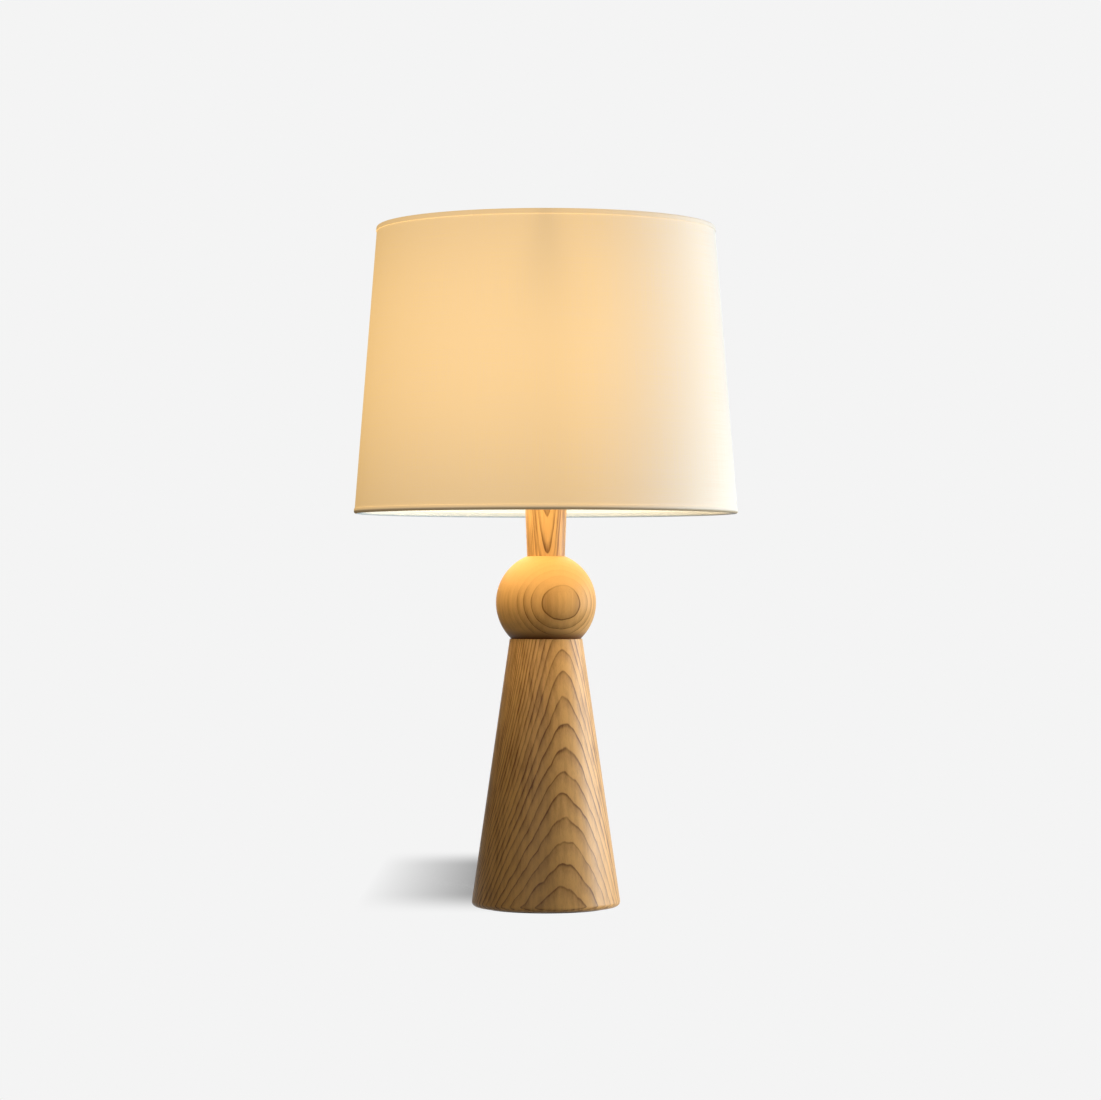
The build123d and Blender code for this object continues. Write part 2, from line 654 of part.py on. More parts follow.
def led_filaments():
    foot = (FILAMENT_FOOT_R, 0, TIP_Z + FILAMENT_FOOT_UP)
    head = (FILAMENT_HEAD_R, 0, TIP_Z + FILAMENT_HEAD_UP)
    filament = straight_wire(foot, head, FILAMENT_D / 2)
    return [Rot(0, 0, 360 / FILAMENTS * (n + 0.5)) * filament for n in range(FILAMENTS)]


def filament_wires():
    """Short wires from the stem to both ends of every filament."""
    foot_z = TIP_Z + FILAMENT_FOOT_UP - SUPPORT_WIRE_D
    head_z = TIP_Z + FILAMENT_HEAD_UP + SUPPORT_WIRE_D
    foot_r = STEM_D / 2 + WELD_GAP
    head_r = STEM_ROD_D / 2 + WELD_GAP
    wires = []
    radius = SUPPORT_WIRE_D / 2
    foot_wire = straight_wire((foot_r, 0, foot_z), (FILAMENT_FOOT_R, 0, foot_z), radius)
    head_wire = straight_wire((head_r, 0, head_z), (FILAMENT_HEAD_R, 0, head_z), radius)
    for n in range(FILAMENTS):
        turn = Rot(0, 0, 360 / FILAMENTS * (n + 0.5))
        wires += [turn * foot_wire, turn * head_wire]
    return wires


def bulb_driver():
    board_z = TIP_Z + DRIVER_UP
    board = post(CAP_R - CAP_WALL - DRIVER_GAP, board_z, board_z + DRIVER_BOARD_T)
    return board + post(CAPACITOR_D / 2, board_z + DRIVER_BOARD_T, board_z + DRIVER_BOARD_T + CAPACITOR_H)


# ---------------------------------------------------------------- writing the pieces
PIECES = {
    "felt_pad": felt_pad(),
    "base_cone": base_cone(),
    "base_ball": base_ball(),
    "neck_column": neck_column(),
    "ballast_plate": ballast_plate(),
    "tie_rod": tie_rod(),
    "bottom_washer": bottom_washer(),
    "lock_washer": lock_washer(),
    "bottom_nut": hex_nut(NUT_Z),
    "neck_washer": neck_washer(),
    "neck_nut": hex_nut(NECK_WASHER_Z + WASHER_T),
    "cord_bushing": cord_bushing(),
    "holder_cap": holder_cap(),
    "grub_screw": grub_screw(),
    "holder_insert": holder_insert(),
    "terminal_screws": terminal_screws(),
    "centre_contact": centre_contact(),
    "side_contact": side_contact(),
    "screw_shell": screw_shell(),
    "holder_skirt": holder_skirt(),
    "slip_washer": slip_washer(),
    "shade_ring": shade_ring(),
    "fitter_ring": fitter_ring(),
    "shade_arms": shade_arms(),
    "top_hoop": frame_ring(TOP_WIRE_Z, WIRE_R),
    "foot_hoop": frame_ring(FOOT_WIRE_Z, WIRE_R),
    "shade_liner": shade_liner(),
    "shade_fabric": shade_fabric(),
    "seam_strip": seam_strip(),
    "top_hem": top_hem(),
    "foot_hem": foot_hem(),
    "bulb_contact": bulb_contact(),
    "bulb_insulator": bulb_insulator(),
    "bulb_cap": bulb_cap(),
    "bulb_glass": bulb_glass(),
    "bulb_stem": bulb_stem(),
    "led_filaments": led_filaments(),
    "filament_wires": filament_wires(),
    "bulb_driver": bulb_driver(),
}

os.makedirs("parts", exist_ok=True)
for name, piece in PIECES.items():
    if isinstance(piece, list):
        piece = Compound(children=[solid for part in piece for solid in part.solids()])
    export_step(piece, f"parts/{name}.step")
print("height", round(SHADE_TOP_Z, 2), "pieces", len(PIECES))
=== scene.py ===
# %% [markdown]
# A column table lamp. The stand is three turned pieces of ash: a tapered column, a ball and a short neck.
# A drum shade of linen hangs over a screw-in bulb. The CAD model comes in first as a fixed frame, and every
# piece below is drawn in the same place as its CAD solid, with a finer surface and a finish of its own.

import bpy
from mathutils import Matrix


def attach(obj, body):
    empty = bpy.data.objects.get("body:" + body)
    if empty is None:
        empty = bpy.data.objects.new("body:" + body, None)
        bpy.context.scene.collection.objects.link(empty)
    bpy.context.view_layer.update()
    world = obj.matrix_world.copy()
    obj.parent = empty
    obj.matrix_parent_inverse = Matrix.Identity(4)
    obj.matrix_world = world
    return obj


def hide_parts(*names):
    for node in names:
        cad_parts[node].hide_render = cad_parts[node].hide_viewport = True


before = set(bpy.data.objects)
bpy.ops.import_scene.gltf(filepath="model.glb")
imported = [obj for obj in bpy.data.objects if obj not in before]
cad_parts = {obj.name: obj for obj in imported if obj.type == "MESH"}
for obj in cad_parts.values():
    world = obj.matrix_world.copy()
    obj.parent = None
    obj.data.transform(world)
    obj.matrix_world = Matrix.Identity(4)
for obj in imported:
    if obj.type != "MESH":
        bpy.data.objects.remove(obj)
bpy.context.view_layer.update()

# %% [markdown]
# The real sizes are easiest to read in millimetres, and Blender works in metres, so one factor stands
# between them. The lamp's axis is the line x = 0, y = 0, and the table is the plane z = 0.

# %% Tools for the whole lesson
from math import atan2, cos, hypot, pi, radians, sin, tan

import bmesh
import bpy
from mathutils import Matrix, Vector

MM = 0.001
scene = bpy.context.scene


def in_scene(name, data):
    thing = bpy.data.objects.new(name, data)
    scene.collection.objects.link(thing)
    return thing


print("a millimetre is", MM)

# %% [markdown]
# The camera stands about 2.9 m in front of the lamp, level with the ball, and looks slightly up, so the
# shade's lower edge is seen from just underneath. A long lens keeps the sides of the shade straight.

# %% The camera
EYE = Vector((0.0040, -2.875, 0.2860))
AIM = Vector((0.0040, 0.0, 0.3160))
LENS_MM, SENSOR_MM = 106.2, 36.0

camera = in_scene("photo_camera", bpy.data.cameras.new("photo_camera"))
camera.data.lens, camera.data.sensor_width = LENS_MM, SENSOR_MM
camera.location = EYE
camera.rotation_euler = (AIM - EYE).to_track_quat("-Z", "Y").to_euler()
scene.camera = camera
scene.view_settings.view_transform = "Standard"
print("camera", round((AIM - EYE).length, 2), "m away")

# %% [markdown]
# Materials are small machines made of nodes. A Bench lays nodes in one tree: each call makes a node, fills
# its inputs with numbers or with other nodes' outputs, and hands back the output that is wanted next. Such
# an output is a Wire, and a sum written with wires, as in a * 2 + b, lays its math nodes by itself.


# %% A bench for laying nodes
class Wire:
    """One output of a node."""

    def __init__(self, bench, socket):
        self.bench, self.socket = bench, socket

    def __abs__(self):
        return self.bench.math("ABSOLUTE", self)


def arithmetic(operation, swapped):
    return lambda wire, other: wire.bench.math(operation, *((other, wire) if swapped else (wire, other)))


for sign, operation in {"add": "ADD", "sub": "SUBTRACT", "mul": "MULTIPLY", "truediv": "DIVIDE"}.items():
    setattr(Wire, f"__{sign}__", arithmetic(operation, False))
    setattr(Wire, f"__r{sign}__", arithmetic(operation, True))


class PlainBench:
    def __init__(self, tree):
        self.tree = tree

    def fill(self, socket, value):
        if isinstance(value, Wire):
            self.tree.links.new(value.socket, socket)
        else:
            socket.default_value = value

    def several(self, kind, inputs=(), **settings):
        """Lays a node, and hands back all its outputs by number and by name."""
        made = self.tree.nodes.new(kind)
        for key, value in settings.items():
            setattr(made, key, value)
        for key, value in dict(inputs).items():
            self.fill(made.inputs[key], value)
        return {key: Wire(self, socket) for key, socket in [*enumerate(made.outputs), *made.outputs.items()]}

    def node(self, kind, inputs=(), out=0, **settings):
        return self.several(kind, inputs, **settings)[out]

    def math(self, operation, *terms, clamp=False):
        return self.node("ShaderNodeMath", enumerate(terms), operation=operation, use_clamp=clamp)

    def vector(self, operation, *terms, out=0):
        return self.node("ShaderNodeVectorMath", enumerate(terms), out, operation=operation)

    def scaled(self, vector, factor):
        return self.node("ShaderNodeVectorMath", {0: vector, "Scale": factor}, operation="SCALE")

    def axes(self, vector):
        outputs = self.several("ShaderNodeSeparateXYZ", {0: vector})
        return outputs[0], outputs[1], outputs[2]


print("bench ready")

# %% [markdown]
# A few patterns come up in nearly every finish: a ramp from one value to another, a mix of two colours, and
# noise, drawn out along an axis where the real thing has a grain. They are read in object coordinates, in
# millimetres, so a pattern has its real size and stays on its piece when the piece moves.


# %% Ramps, mixes and noise
class Bench(PlainBench):
    def ramp(self, value, low, high, start=0.0, end=1.0, smooth=True):
        kind = "SMOOTHSTEP" if smooth else "LINEAR"
        inputs = zip(("Value", "From Min", "From Max", "To Min", "To Max"), (value, low, high, start, end))
        return self.node("ShaderNodeMapRange", inputs, interpolation_type=kind)

    def mix(self, share, a, b):
        return self.node("ShaderNodeMix", {0: share, 6: a, 7: b}, 2, data_type="RGBA")

    def noise(self, place, stretch, detail=2.0, rough=0.5):
        """Noise at a place that is multiplied by stretch, a number for all axes or one for each."""
        if isinstance(stretch, tuple):
            place, stretch = self.vector("MULTIPLY", place, stretch), 1.0
        inputs = {"Vector": place, "Scale": stretch, "Detail": detail, "Roughness": rough}
        return self.node("ShaderNodeTexNoise", inputs, "Fac")

    def place(self):
        """Object coordinates in millimetres."""
        return self.vector("MULTIPLY", self.node("ShaderNodeTexCoord", out="Object"), (1 / MM, 1 / MM, 1 / MM))


print("patterns ready")

# %% [markdown]
# A pattern that several finishes share is kept in a group, which has its own inputs and outputs, and a finish
# is one Principled shader. Groups only hand over masks and colours, and the shader stays in the finish.


# %% Groups and finishes
def label_of(word):
    return word.replace("_", " ").title()


def shader_group(name, **inputs):
    """The bench of an empty node group, and its inputs. Inputs are given as name=default."""
    tree = bpy.data.node_groups.new(name, "ShaderNodeTree")
    for word, value in inputs.items():
        kind = "NodeSocketVector" if isinstance(value, tuple) else "NodeSocketFloat"
        tree.interface.new_socket(label_of(word), in_out="INPUT", socket_type=kind).default_value = value
    bench = Bench(tree)
    return bench, bench.several("NodeGroupInput")


def close_group(bench, **results):
    for word in results:
        bench.tree.interface.new_socket(label_of(word), in_out="OUTPUT", socket_type="NodeSocketFloat")
    bench.several("NodeGroupOutput", {label_of(word): value for word, value in results.items()})
    print("group", bench.tree.name)
    return bench.tree


def use_group(bench, tree, **inputs):
    made = bench.tree.nodes.new("ShaderNodeGroup")
    made.node_tree = tree
    for word, value in inputs.items():
        bench.fill(made.inputs[label_of(word)], value)
    return {key: Wire(bench, socket) for key, socket in made.outputs.items()}


def empty_bench(owner):
    """The bench of a material or world, cleared."""
    owner.use_nodes = True
    owner.node_tree.nodes.clear()
    return Bench(owner.node_tree)


def finish_named(name, **plain):
    """A new material with a Principled shader, its plain sockets set. Names in plain use _ for spaces."""
    finish = bpy.data.materials.new(name)
    bench = empty_bench(finish)
    shader = bench.tree.nodes.new("ShaderNodeBsdfPrincipled")
    bench.several("ShaderNodeOutputMaterial", {"Surface": Wire(bench, shader.outputs[0])})
    for label, value in plain.items():
        shader.inputs[label.replace("_", " ")].default_value = value
    return finish, bench, shader.inputs


def raise_bump(bench, sockets, height, depth_mm, strength=1.0):
    """Lets a height pattern tilt the surface."""
    inputs = {"Height": height, "Distance": depth_mm * MM, "Strength": strength}
    bench.fill(sockets["Normal"], bench.node("ShaderNodeBump", inputs))


print("groups and finishes ready")

# %% [markdown]
# The floor is a plain pale sheet. A camera, a mirror or a glass sees it as the same pale grey as the wall
# behind, so the lamp stands in an even field, and only the lamp's own soft shadow, painted into that grey,
# darkens it. The painted shadow is measured: from each spot of the floor, rays are sent towards the front
# right, and the share that the lamp stops is the depth of the shadow there. It is kept to a soft oval behind
# the base, at the left. Other rays meet a darker floor, which keeps the foot of the column as brown as it is
# on the real lamp.

# %% Floor and backdrop
PALE, AMBIENT = 0.905, 0.05
SHADOW_DEPTH, SHADOW_GAIN = 0.78, 40.0
SHADOW_MIDDLE, SHADOW_REACH = (-0.054, 0.28), (0.116, 0.34)
SHADOW_LEAN = (0.34, -0.87, 0.36)
FLOOR_HALF = 30


def seen_or_not(bench, seen, unseen):
    """Camera, glossy and transmission rays meet one shader, and the rest of the light another."""
    rays = bench.several("ShaderNodeLightPath")
    through = bench.math("MAXIMUM", rays["Is Glossy Ray"], rays["Is Transmission Ray"])
    straight = bench.math("MAXIMUM", rays["Is Camera Ray"], through)
    return bench.node("ShaderNodeMixShader", {0: straight, 1: unseen, 2: seen})


def pale_floor():
    finish = bpy.data.materials.new("pale_floor")
    bench = empty_bench(finish)
    x, y, _ = bench.axes(bench.node("ShaderNodeTexCoord", out="Object"))
    across, along = SHADOW_MIDDLE[0] - x, abs(y - SHADOW_MIDDLE[1])
    oval = bench.ramp(across, -0.02, SHADOW_REACH[0], 1.0, 0.0, smooth=False)
    oval = oval * bench.ramp(along, 0.42 * SHADOW_REACH[1], SHADOW_REACH[1], 1.0, 0.0)
    oval = oval * bench.ramp(across, -0.10, -0.04)
    lean = bench.node("ShaderNodeCombineXYZ", enumerate(SHADOW_LEAN))
    open_share = bench.node("ShaderNodeAmbientOcclusion", {"Distance": 1.0, "Normal": lean}, "AO", samples=16)
    stopped = bench.math("MULTIPLY", 1.0 - open_share, SHADOW_GAIN, clamp=True)
    # Painted shadow: the floor's grey is darkened by the occlusion measured inside the oval.
    tone = (1.0 - oval * stopped * SHADOW_DEPTH) * PALE
    grey = bench.node("ShaderNodeCombineColor", {0: tone, 1: tone, 2: tone})
    seen = bench.node("ShaderNodeEmission", {"Color": grey, "Strength": 1.0})
    unseen = bench.node("ShaderNodeBsdfDiffuse", {"Color": (0.22, 0.22, 0.22, 1)})
    bench.several("ShaderNodeOutputMaterial", {"Surface": seen_or_not(bench, seen, unseen)})
    return finish


def on_stage(name, points, faces, finish):
    """Something of the studio, which isn't part of the lamp."""
    mesh = bpy.data.meshes.new(name)
    mesh.from_pydata(points, [], faces)
    mesh.materials.append(finish)
    thing = in_scene(name, mesh)
    return thing


corners = [(x * FLOOR_HALF, y * FLOOR_HALF, 0) for x, y in ((-1, -1), (1, -1), (1, 1), (-1, 1))]
on_stage("floor", corners, [(0, 1, 2, 3)], pale_floor())

scene.world = bpy.data.worlds.new("pale_room")
air = empty_bench(scene.world)
sky = air.node("ShaderNodeBackground", {"Color": (PALE, PALE, PALE, 1), "Strength": 1.0})
dim = air.node("ShaderNodeBackground", {"Color": (1.0, 0.98, 0.95, 1), "Strength": AMBIENT})
air.several("ShaderNodeOutputWorld", {"Surface": seen_or_not(air, sky, dim)})
print("floor and backdrop at", PALE)

# %% [markdown]
# Three soft panels light the object. A big cool one stands at its right, a little behind, and makes the
# shade's side white. A small low one beside it, with a narrow beam, draws the pale side of the wood. A wide
# weak one fills from the front. A black card at the left, out of the picture, keeps the wood's left edge dark
# and sharp.

# %% The studio lamps
PANELS = {  # turn, distance, height, aim, side, watts, colour, spread
    "key_panel": (106, 2.20, 0.50, 0.30, 1.67, 71.0, (0.87, 0.945, 1.0), 180),
    "rim_panel": (90, 1.40, 0.16, 0.08, 0.28, 0.36, (1.0, 1.0, 1.0), 28),
    "front_fill": (-14, 2.3, 0.75, 0.33, 1.6, 9.0, (1.0, 0.955, 0.90), 180),
}
CARD_TURNS, CARD_DISTANCE, CARD_HEIGHTS = (-150, -120, -90, -60), 0.55, (0.001, 0.75)


def stands_at(turn_deg, distance):
    """A spot round the lamp. Turn 0 is at the camera, and 90 at the right."""
    return distance * sin(radians(turn_deg)), -distance * cos(radians(turn_deg))


for name, (turn, distance, height, aim, side, watts, colour, spread) in PANELS.items():
    lamp = bpy.data.lights.new(name, "AREA")
    lamp.energy, lamp.size, lamp.color, lamp.spread = watts, side, colour, radians(spread)
    panel = in_scene(name, lamp)
    panel.location = (*stands_at(turn, distance), height)
    panel.rotation_euler = (Vector((0, 0, aim)) - panel.location).to_track_quat("-Z", "Y").to_euler()
    panel.visible_camera = False

card_finish, _, card_sockets = finish_named("black_card", Roughness=1.0, Specular_IOR_Level=0.0)
card_sockets["Base Color"].default_value = (0.01, 0.01, 0.01, 1)
corners = [(*stands_at(turn, CARD_DISTANCE), z) for z in CARD_HEIGHTS for turn in CARD_TURNS]
card = on_stage("black_card", corners, [(k, k + 1, k + 5, k + 4) for k in range(3)], card_finish)
card.visible_camera = False
print("lamps", ", ".join(PANELS), "and a card")

# %% [markdown]
# Ash shows its growth rings as dark lines, each with a sharp inner edge that fades outwards. The rings are
# cylinders about the tree's heart, the pith, so a turned surface cuts them in arches and ovals. The group
# measures the distance from a leaning pith, bends it a little with noise, and counts rings in it. The apex
# drop pulls the tops of the arches down at one side. No two lines are alike: each gets a strength and a width
# of its own from its number, with one of them the boldest. Where the surface cuts the rings at a slant they
# crowd together, and the lines grow wider and softer.


# %% Growth rings
def growth_rings():
    bench, given = shader_group(
        "growth_rings", place=(0.0, 0.0, 0.0), pith_x=0.0, pith_y=40.0, lean_x=0.0, lean_y=0.0, spacing=1.4,
        first_ring=78.0, wobble=0.5, kink=0.2, line_width=0.1, apex_x=0.0, apex_drop=0.0, bold_ring=0.0,
        crowding=1.0)
    place = given["Place"]
    x, y, z = bench.axes(place)
    across = x - given["Pith X"] - z * given["Lean X"]
    along = y - given["Pith Y"] - z * given["Lean Y"]
    slow = bench.noise(place, (0.034, 0.034, 0.016))
    quick = bench.noise(place, (0.13, 0.13, 0.06), 1.0)
    reach = bench.math("SQRT", across * across + along * along)
    reach = reach + (slow - 0.5) * given["Wobble"] + (quick - 0.5) * given["Kink"]
    reach = reach - bench.ramp(abs(x - given["Apex X"]), 0.0, 16.0, smooth=False) * given["Apex Drop"]
    count = (reach - given["First Ring"]) / given["Spacing"]
    within = bench.math("FRACT", count + 1000.0)
    index = bench.math("FLOOR", count) - given["Bold Ring"]
    tone = bench.math("FRACT", index * 0.618034 + 618.99)
    facing = bench.vector("NORMALIZE", bench.node("ShaderNodeCombineXYZ", {0: across, 1: along}))
    normal = bench.node("ShaderNodeTexCoord", out="Normal")
    straight = bench.vector("DOT_PRODUCT", facing, normal, out="Value")
    slant = bench.math("SQRT", bench.math("SUBTRACT", 1.0, straight * straight, clamp=True))
    crowd = bench.ramp(slant, 0.16, 0.32) * given["Crowding"]
    width = given["Line Width"] * (crowd * 1.6 + 1.0)
    width = width * bench.ramp(tone, 0.0, 1.0, 0.7, 1.3, smooth=False)
    line = bench.math("MAXIMUM", bench.ramp(within, 0.0, width, 1.0, 0.0), bench.ramp(within, 0.94, 1.0))
    line = line * bench.ramp(tone, 0.0, 1.0, 0.55, 1.0, smooth=False)
    line = line * bench.ramp(bench.noise(place, (0.07, 0.07, 0.025), 1.0), 0.3, 0.6, 0.55, 1.0)
    return close_group(bench, line=line, fade=bench.ramp(within, 0.0, 0.7, 1.0, 0.0), crowd=crowd, reach=reach)


GROWTH_RINGS = growth_rings()

# %% [markdown]
# Between the rings run the fibres, fine streaks along the trunk, and the pores, short dark dashes. Both are
# noise that is squeezed across the trunk and drawn out along it.


# %% Wood fibres
def wood_fibres():
    bench, given = shader_group("wood_fibres", place=(0.0, 0.0, 0.0))
    streak = bench.noise(given["Place"], (1.9, 1.9, 0.045), 3.0, 0.6)
    broad = bench.noise(given["Place"], (0.22, 0.22, 0.012), 3.0, 0.6)
    dash = bench.noise(given["Place"], (2.6, 2.6, 0.16), 1.0)
    return close_group(bench, streak=streak, broad=broad, pore=bench.ramp(dash, 0.66, 0.74))


WOOD_FIBRES = wood_fibres()

# %% [markdown]
# The three pieces come from different boards, so each has its own pith. A dark line, its fading side, the
# streaks and the pores add up to a share, which mixes a pale and a dark tone of oiled wood. The ball's rings
# grow pale near their pith and calm towards its top, and the ball is painted dark in the corner where it
# meets the column, as painted shade.

# %% Oiled wood
WOOD_PALE = (0.610, 0.342, 0.115, 1)
WOOD_DARK = (0.135, 0.052, 0.013, 1)


def oiled_ash(name, contrast=1.0, gloss=0.22, sheen=0.12, faint=None, calm=None, corner=None, **rings):
    """The wood of one turned piece. Lines fade between the reaches of faint and the heights of calm, and the
    wood is painted dark between the heights of corner, as painted shade where two pieces meet."""
    finish, bench, sockets = finish_named(
        name, Specular_IOR_Level=gloss, Sheen_Weight=sheen, Sheen_Roughness=0.4)
    place = bench.place()
    height = bench.axes(place)[2]
    grown = use_group(bench, GROWTH_RINGS, place=place, **rings)
    fibre = use_group(bench, WOOD_FIBRES, place=place)
    streak, pore, line, crowd = fibre["Streak"], fibre["Pore"], grown["Line"], grown["Crowd"]
    streaks = (fibre["Broad"] - 0.45) * bench.ramp(crowd, 0.0, 1.0, 0.9, 1.9) + (streak - 0.48) * 0.5
    if faint:
        contrast = bench.ramp(grown["Reach"], *faint, 0.25, contrast)
    if calm:
        contrast = contrast * bench.ramp(height, *calm, 1.0, 0.15)
        streaks = streaks * bench.ramp(height, *calm, 0.7, 0.15)
    shade = (grown["Fade"] * 0.34 + line * bench.ramp(crowd, 0.0, 1.0, 0.72, 0.50)) * contrast
    shade = bench.math("ADD", shade + streaks, pore * 0.2, clamp=True)
    # Painted shade: the wood is drawn dark in the corner between the heights of corner.
    if corner:
        shade = bench.math("MAXIMUM", shade, bench.ramp(height, *corner, 1.0, 0.0))
    bench.fill(sockets["Base Color"], bench.mix(shade, WOOD_PALE, WOOD_DARK))
    bench.fill(sockets["Roughness"], bench.ramp(streak, 0.2, 0.8, 0.38, 0.50))
    raise_bump(bench, sockets, streak - pore * 0.8 - line * 0.4, 0.05, 0.5)
    return finish


CONE_WOOD = oiled_ash(
    "cone_wood", pith_x=-3.58, pith_y=18.3, lean_x=-0.054, lean_y=0.063, spacing=1.362, first_ring=77.95,
    wobble=1.1, kink=0.36, line_width=0.17, apex_x=14.0, apex_drop=0.28, bold_ring=-11.0)
# The ball's corner heights paint shade where it meets the column.
BALL_WOOD = oiled_ash(
    "ball_wood", gloss=0.08, sheen=0.03, faint=(143.0, 153.0), calm=(270.0, 290.0), corner=(237.6, 247.0),
    pith_x=-39.5, pith_y=113.0, spacing=3.9, first_ring=161.4, wobble=2.4, kink=0.5, line_width=0.10,
    crowding=0.0)
NECK_WOOD = oiled_ash(
    "neck_wood", 0.8, pith_x=-2.0, pith_y=40.0, spacing=1.25, first_ring=56.95, wobble=0.9, kink=0.3,
    line_width=0.34, apex_x=2.0, apex_drop=0.35)
print("wood for cone, ball and neck")

# %% [markdown]
# Most of the lamp is round, so most pieces start as an outline that is turned about the axis, as on a lathe.
# An outline is a list of corners, each a radius and a height in millimetres, and a third number rounds the
# corner, because no real edge is perfectly sharp.


# %% Outlines
def outline(*corners, bits=6):
    """A closed outline. A corner is (radius, height) or (radius, height, round)."""
    path = []
    for k, corner in enumerate(corners):
        here = complex(*corner[:2])
        if len(corner) == 2:
            path.append((here.real, here.imag))
            continue
        before = complex(*corners[k - 1][:2]) - here
        after = complex(*corners[(k + 1) % len(corners)][:2]) - here
        turn = atan2((after / before).imag, (after / before).real)
        half = abs(turn) / 2
        reach = min(corner[2] / tan(half), 0.49 * abs(before), 0.49 * abs(after))
        radius = reach * tan(half)
        middle = before / abs(before) + after / abs(after)
        centre = here + middle / abs(middle) * radius / sin(half)
        first = here + before / abs(before) * reach - centre
        swing = (pi - abs(turn)) * (-1 if turn > 0 else 1)
        for i in range(bits + 1):
            angle = swing * i / bits
            point = centre + first * complex(cos(angle), sin(angle))
            path.append((point.real, point.imag))
    return path


def round_wire(radius, wire, height, bits=16):
    turns = [2 * pi * i / bits for i in range(bits)]
    return [(radius + wire * cos(turn), height + wire * sin(turn)) for turn in turns]


print("a corner of 1 mm has", len(outline((0, 0), (5, 0, 1), (5, 5))) - 2, "points")

# %% [markdown]
# A turned mesh is welded along its seam and at the axis, its faces look outwards, and it is shaded smooth
# except over real edges. Then the finished piece is hung on its body, in place of its CAD nodes.


# %% The lathe
def weld(mesh):
    """Closes poles and seams, and turns the faces outwards."""
    work = bmesh.new()
    work.from_mesh(mesh)
    bmesh.ops.remove_doubles(work, verts=work.verts, dist=1e-7)
    bmesh.ops.recalc_face_normals(work, faces=work.faces)
    work.to_mesh(mesh)
    work.free()


def soften(mesh, smooth_deg=35):
    mesh.shade_smooth()
    mesh.set_sharp_from_angle(angle=radians(smooth_deg))


def show_mesh(name, points, faces, finishes=(), smooth_deg=35):
    mesh = bpy.data.meshes.new(name)
    mesh.from_pydata(points, [], faces)
    weld(mesh)
    for finish in finishes:
        mesh.materials.append(finish)
    soften(mesh, smooth_deg)
    return in_scene(name, mesh)


def turned(name, path, *finishes, steps=160, smooth_deg=35):
    """Turns a closed outline about the lamp's axis."""
    points, faces, rows = [], [], []
    for radius, height in path:
        if radius < 1e-6:
            rows.append([len(points)] * steps)
            points.append((0, 0, height * MM))
            continue
        rows.append(range(len(points), len(points) + steps))
        for i in range(steps):
            angle = 2 * pi * i / steps
            points.append((radius * cos(angle) * MM, radius * sin(angle) * MM, height * MM))
    for low, high in zip(rows, rows[1:] + rows[:1]):
        for i in range(steps):
            j = (i + 1) % steps
            face = list(dict.fromkeys((low[i], low[j], high[j], high[i])))
            if len(face) > 2:
                faces.append(face)
    piece = show_mesh(name, points, faces, finishes, smooth_deg)
    print(name, len(piece.data.polygons), "faces")
    return piece


def as_built(thing):
    """The thing's shape with its modifiers applied, as a new mesh."""
    return bpy.data.meshes.new_from_object(thing.evaluated_get(bpy.context.evaluated_depsgraph_get()))


def set_up(piece, body, slot, *nodes):
    """Hangs a finished piece on its body, in place of its CAD nodes."""
    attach(piece, body)
    if nodes:
        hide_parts(*nodes)
    return piece


print("lathe ready")

# %% [markdown]
# The column is one solid turning, wide and softly rounded at the foot, with a shallow hollow underneath
# for the weight and the felt. At the back a hole and a flat round seat take the cord's bushing. They are
# cut out with a boolean, as a drill would cut them.

# %% The tapered column
CONE_FOOT_Z, CONE_TOP_Z = 1.5, 237.6
CONE_FOOT_R, CONE_TOP_R = 66.2, 32.1
INLET_Z = 14.0
SEAT_Y = 62.496


def drilled(piece, radius, start, end, sides=64):
    """Cuts a round hole along Y at the height of the cord's inlet."""
    ring = [(x * MM, z * MM) for x, z in round_wire(0.0, radius, INLET_Z, sides)]
    points = [(x, y * MM, z) for y in (start, end) for x, z in ring]
    walls = [(i, (i + 1) % sides, sides + (i + 1) % sides, sides + i) for i in range(sides)]
    drill = show_mesh("drill", points, walls + [tuple(range(sides)), tuple(range(sides, 2 * sides))])
    cut = piece.modifiers.new("drill", "BOOLEAN")
    cut.operation, cut.solver, cut.object = "DIFFERENCE", "EXACT", drill
    whole = as_built(piece)
    piece.modifiers.clear()
    piece.data = whole
    bpy.data.objects.remove(drill)
    soften(whole)


def column_side(height):
    return CONE_FOOT_R - (CONE_FOOT_R - CONE_TOP_R) * (height - CONE_FOOT_Z) / (CONE_TOP_Z - CONE_FOOT_Z)


column = turned("tapered_column", outline(
    (5.3, 36.0), (48.0, 36.0, 0.8), (48.0, 3.0, 0.4), (56.3, 3.0, 0.4), (56.3, CONE_FOOT_Z, 0.5),
    (CONE_FOOT_R, CONE_FOOT_Z, 6.5), (column_side(80), 80.0), (column_side(160), 160.0),
    (CONE_TOP_R, CONE_TOP_Z, 0.6), (15.05, CONE_TOP_Z), (15.05, 229.3), (5.3, 229.3), bits=10),
    CONE_WOOD, steps=192)
drilled(column, 5.1, 40.0, 80.0)
drilled(column, 7.3, SEAT_Y, 80.0)
set_up(column, "stand", "wood", "base_cone")

# %% [markdown]
# The ball is a turned sphere with a flat at the foot, where it meets the column in a dark line, partly
# real shadow in the crevice and partly painted shade, and a small flat on top for the neck. A spigot under
# each piece drops into a socket in the one below, so the three stay in line.

# %% The ball and the neck
BALL_R, BALL_MIDDLE_Z = 44.3, 269.54
NECK_FOOT_Z, NECK_TOP_Z = 310.53, 390.03


def ball_side(bits=72):
    """The round part of the ball's outline, from its foot flat up to the neck."""
    low = atan2(CONE_TOP_Z - BALL_MIDDLE_Z, 30.7)
    high = atan2(NECK_FOOT_Z - BALL_MIDDLE_Z, 16.8)
    angles = [low + (high - low) * i / bits for i in range(bits + 1)]
    return [(BALL_R * cos(a), BALL_MIDDLE_Z + BALL_R * sin(a)) for a in angles]


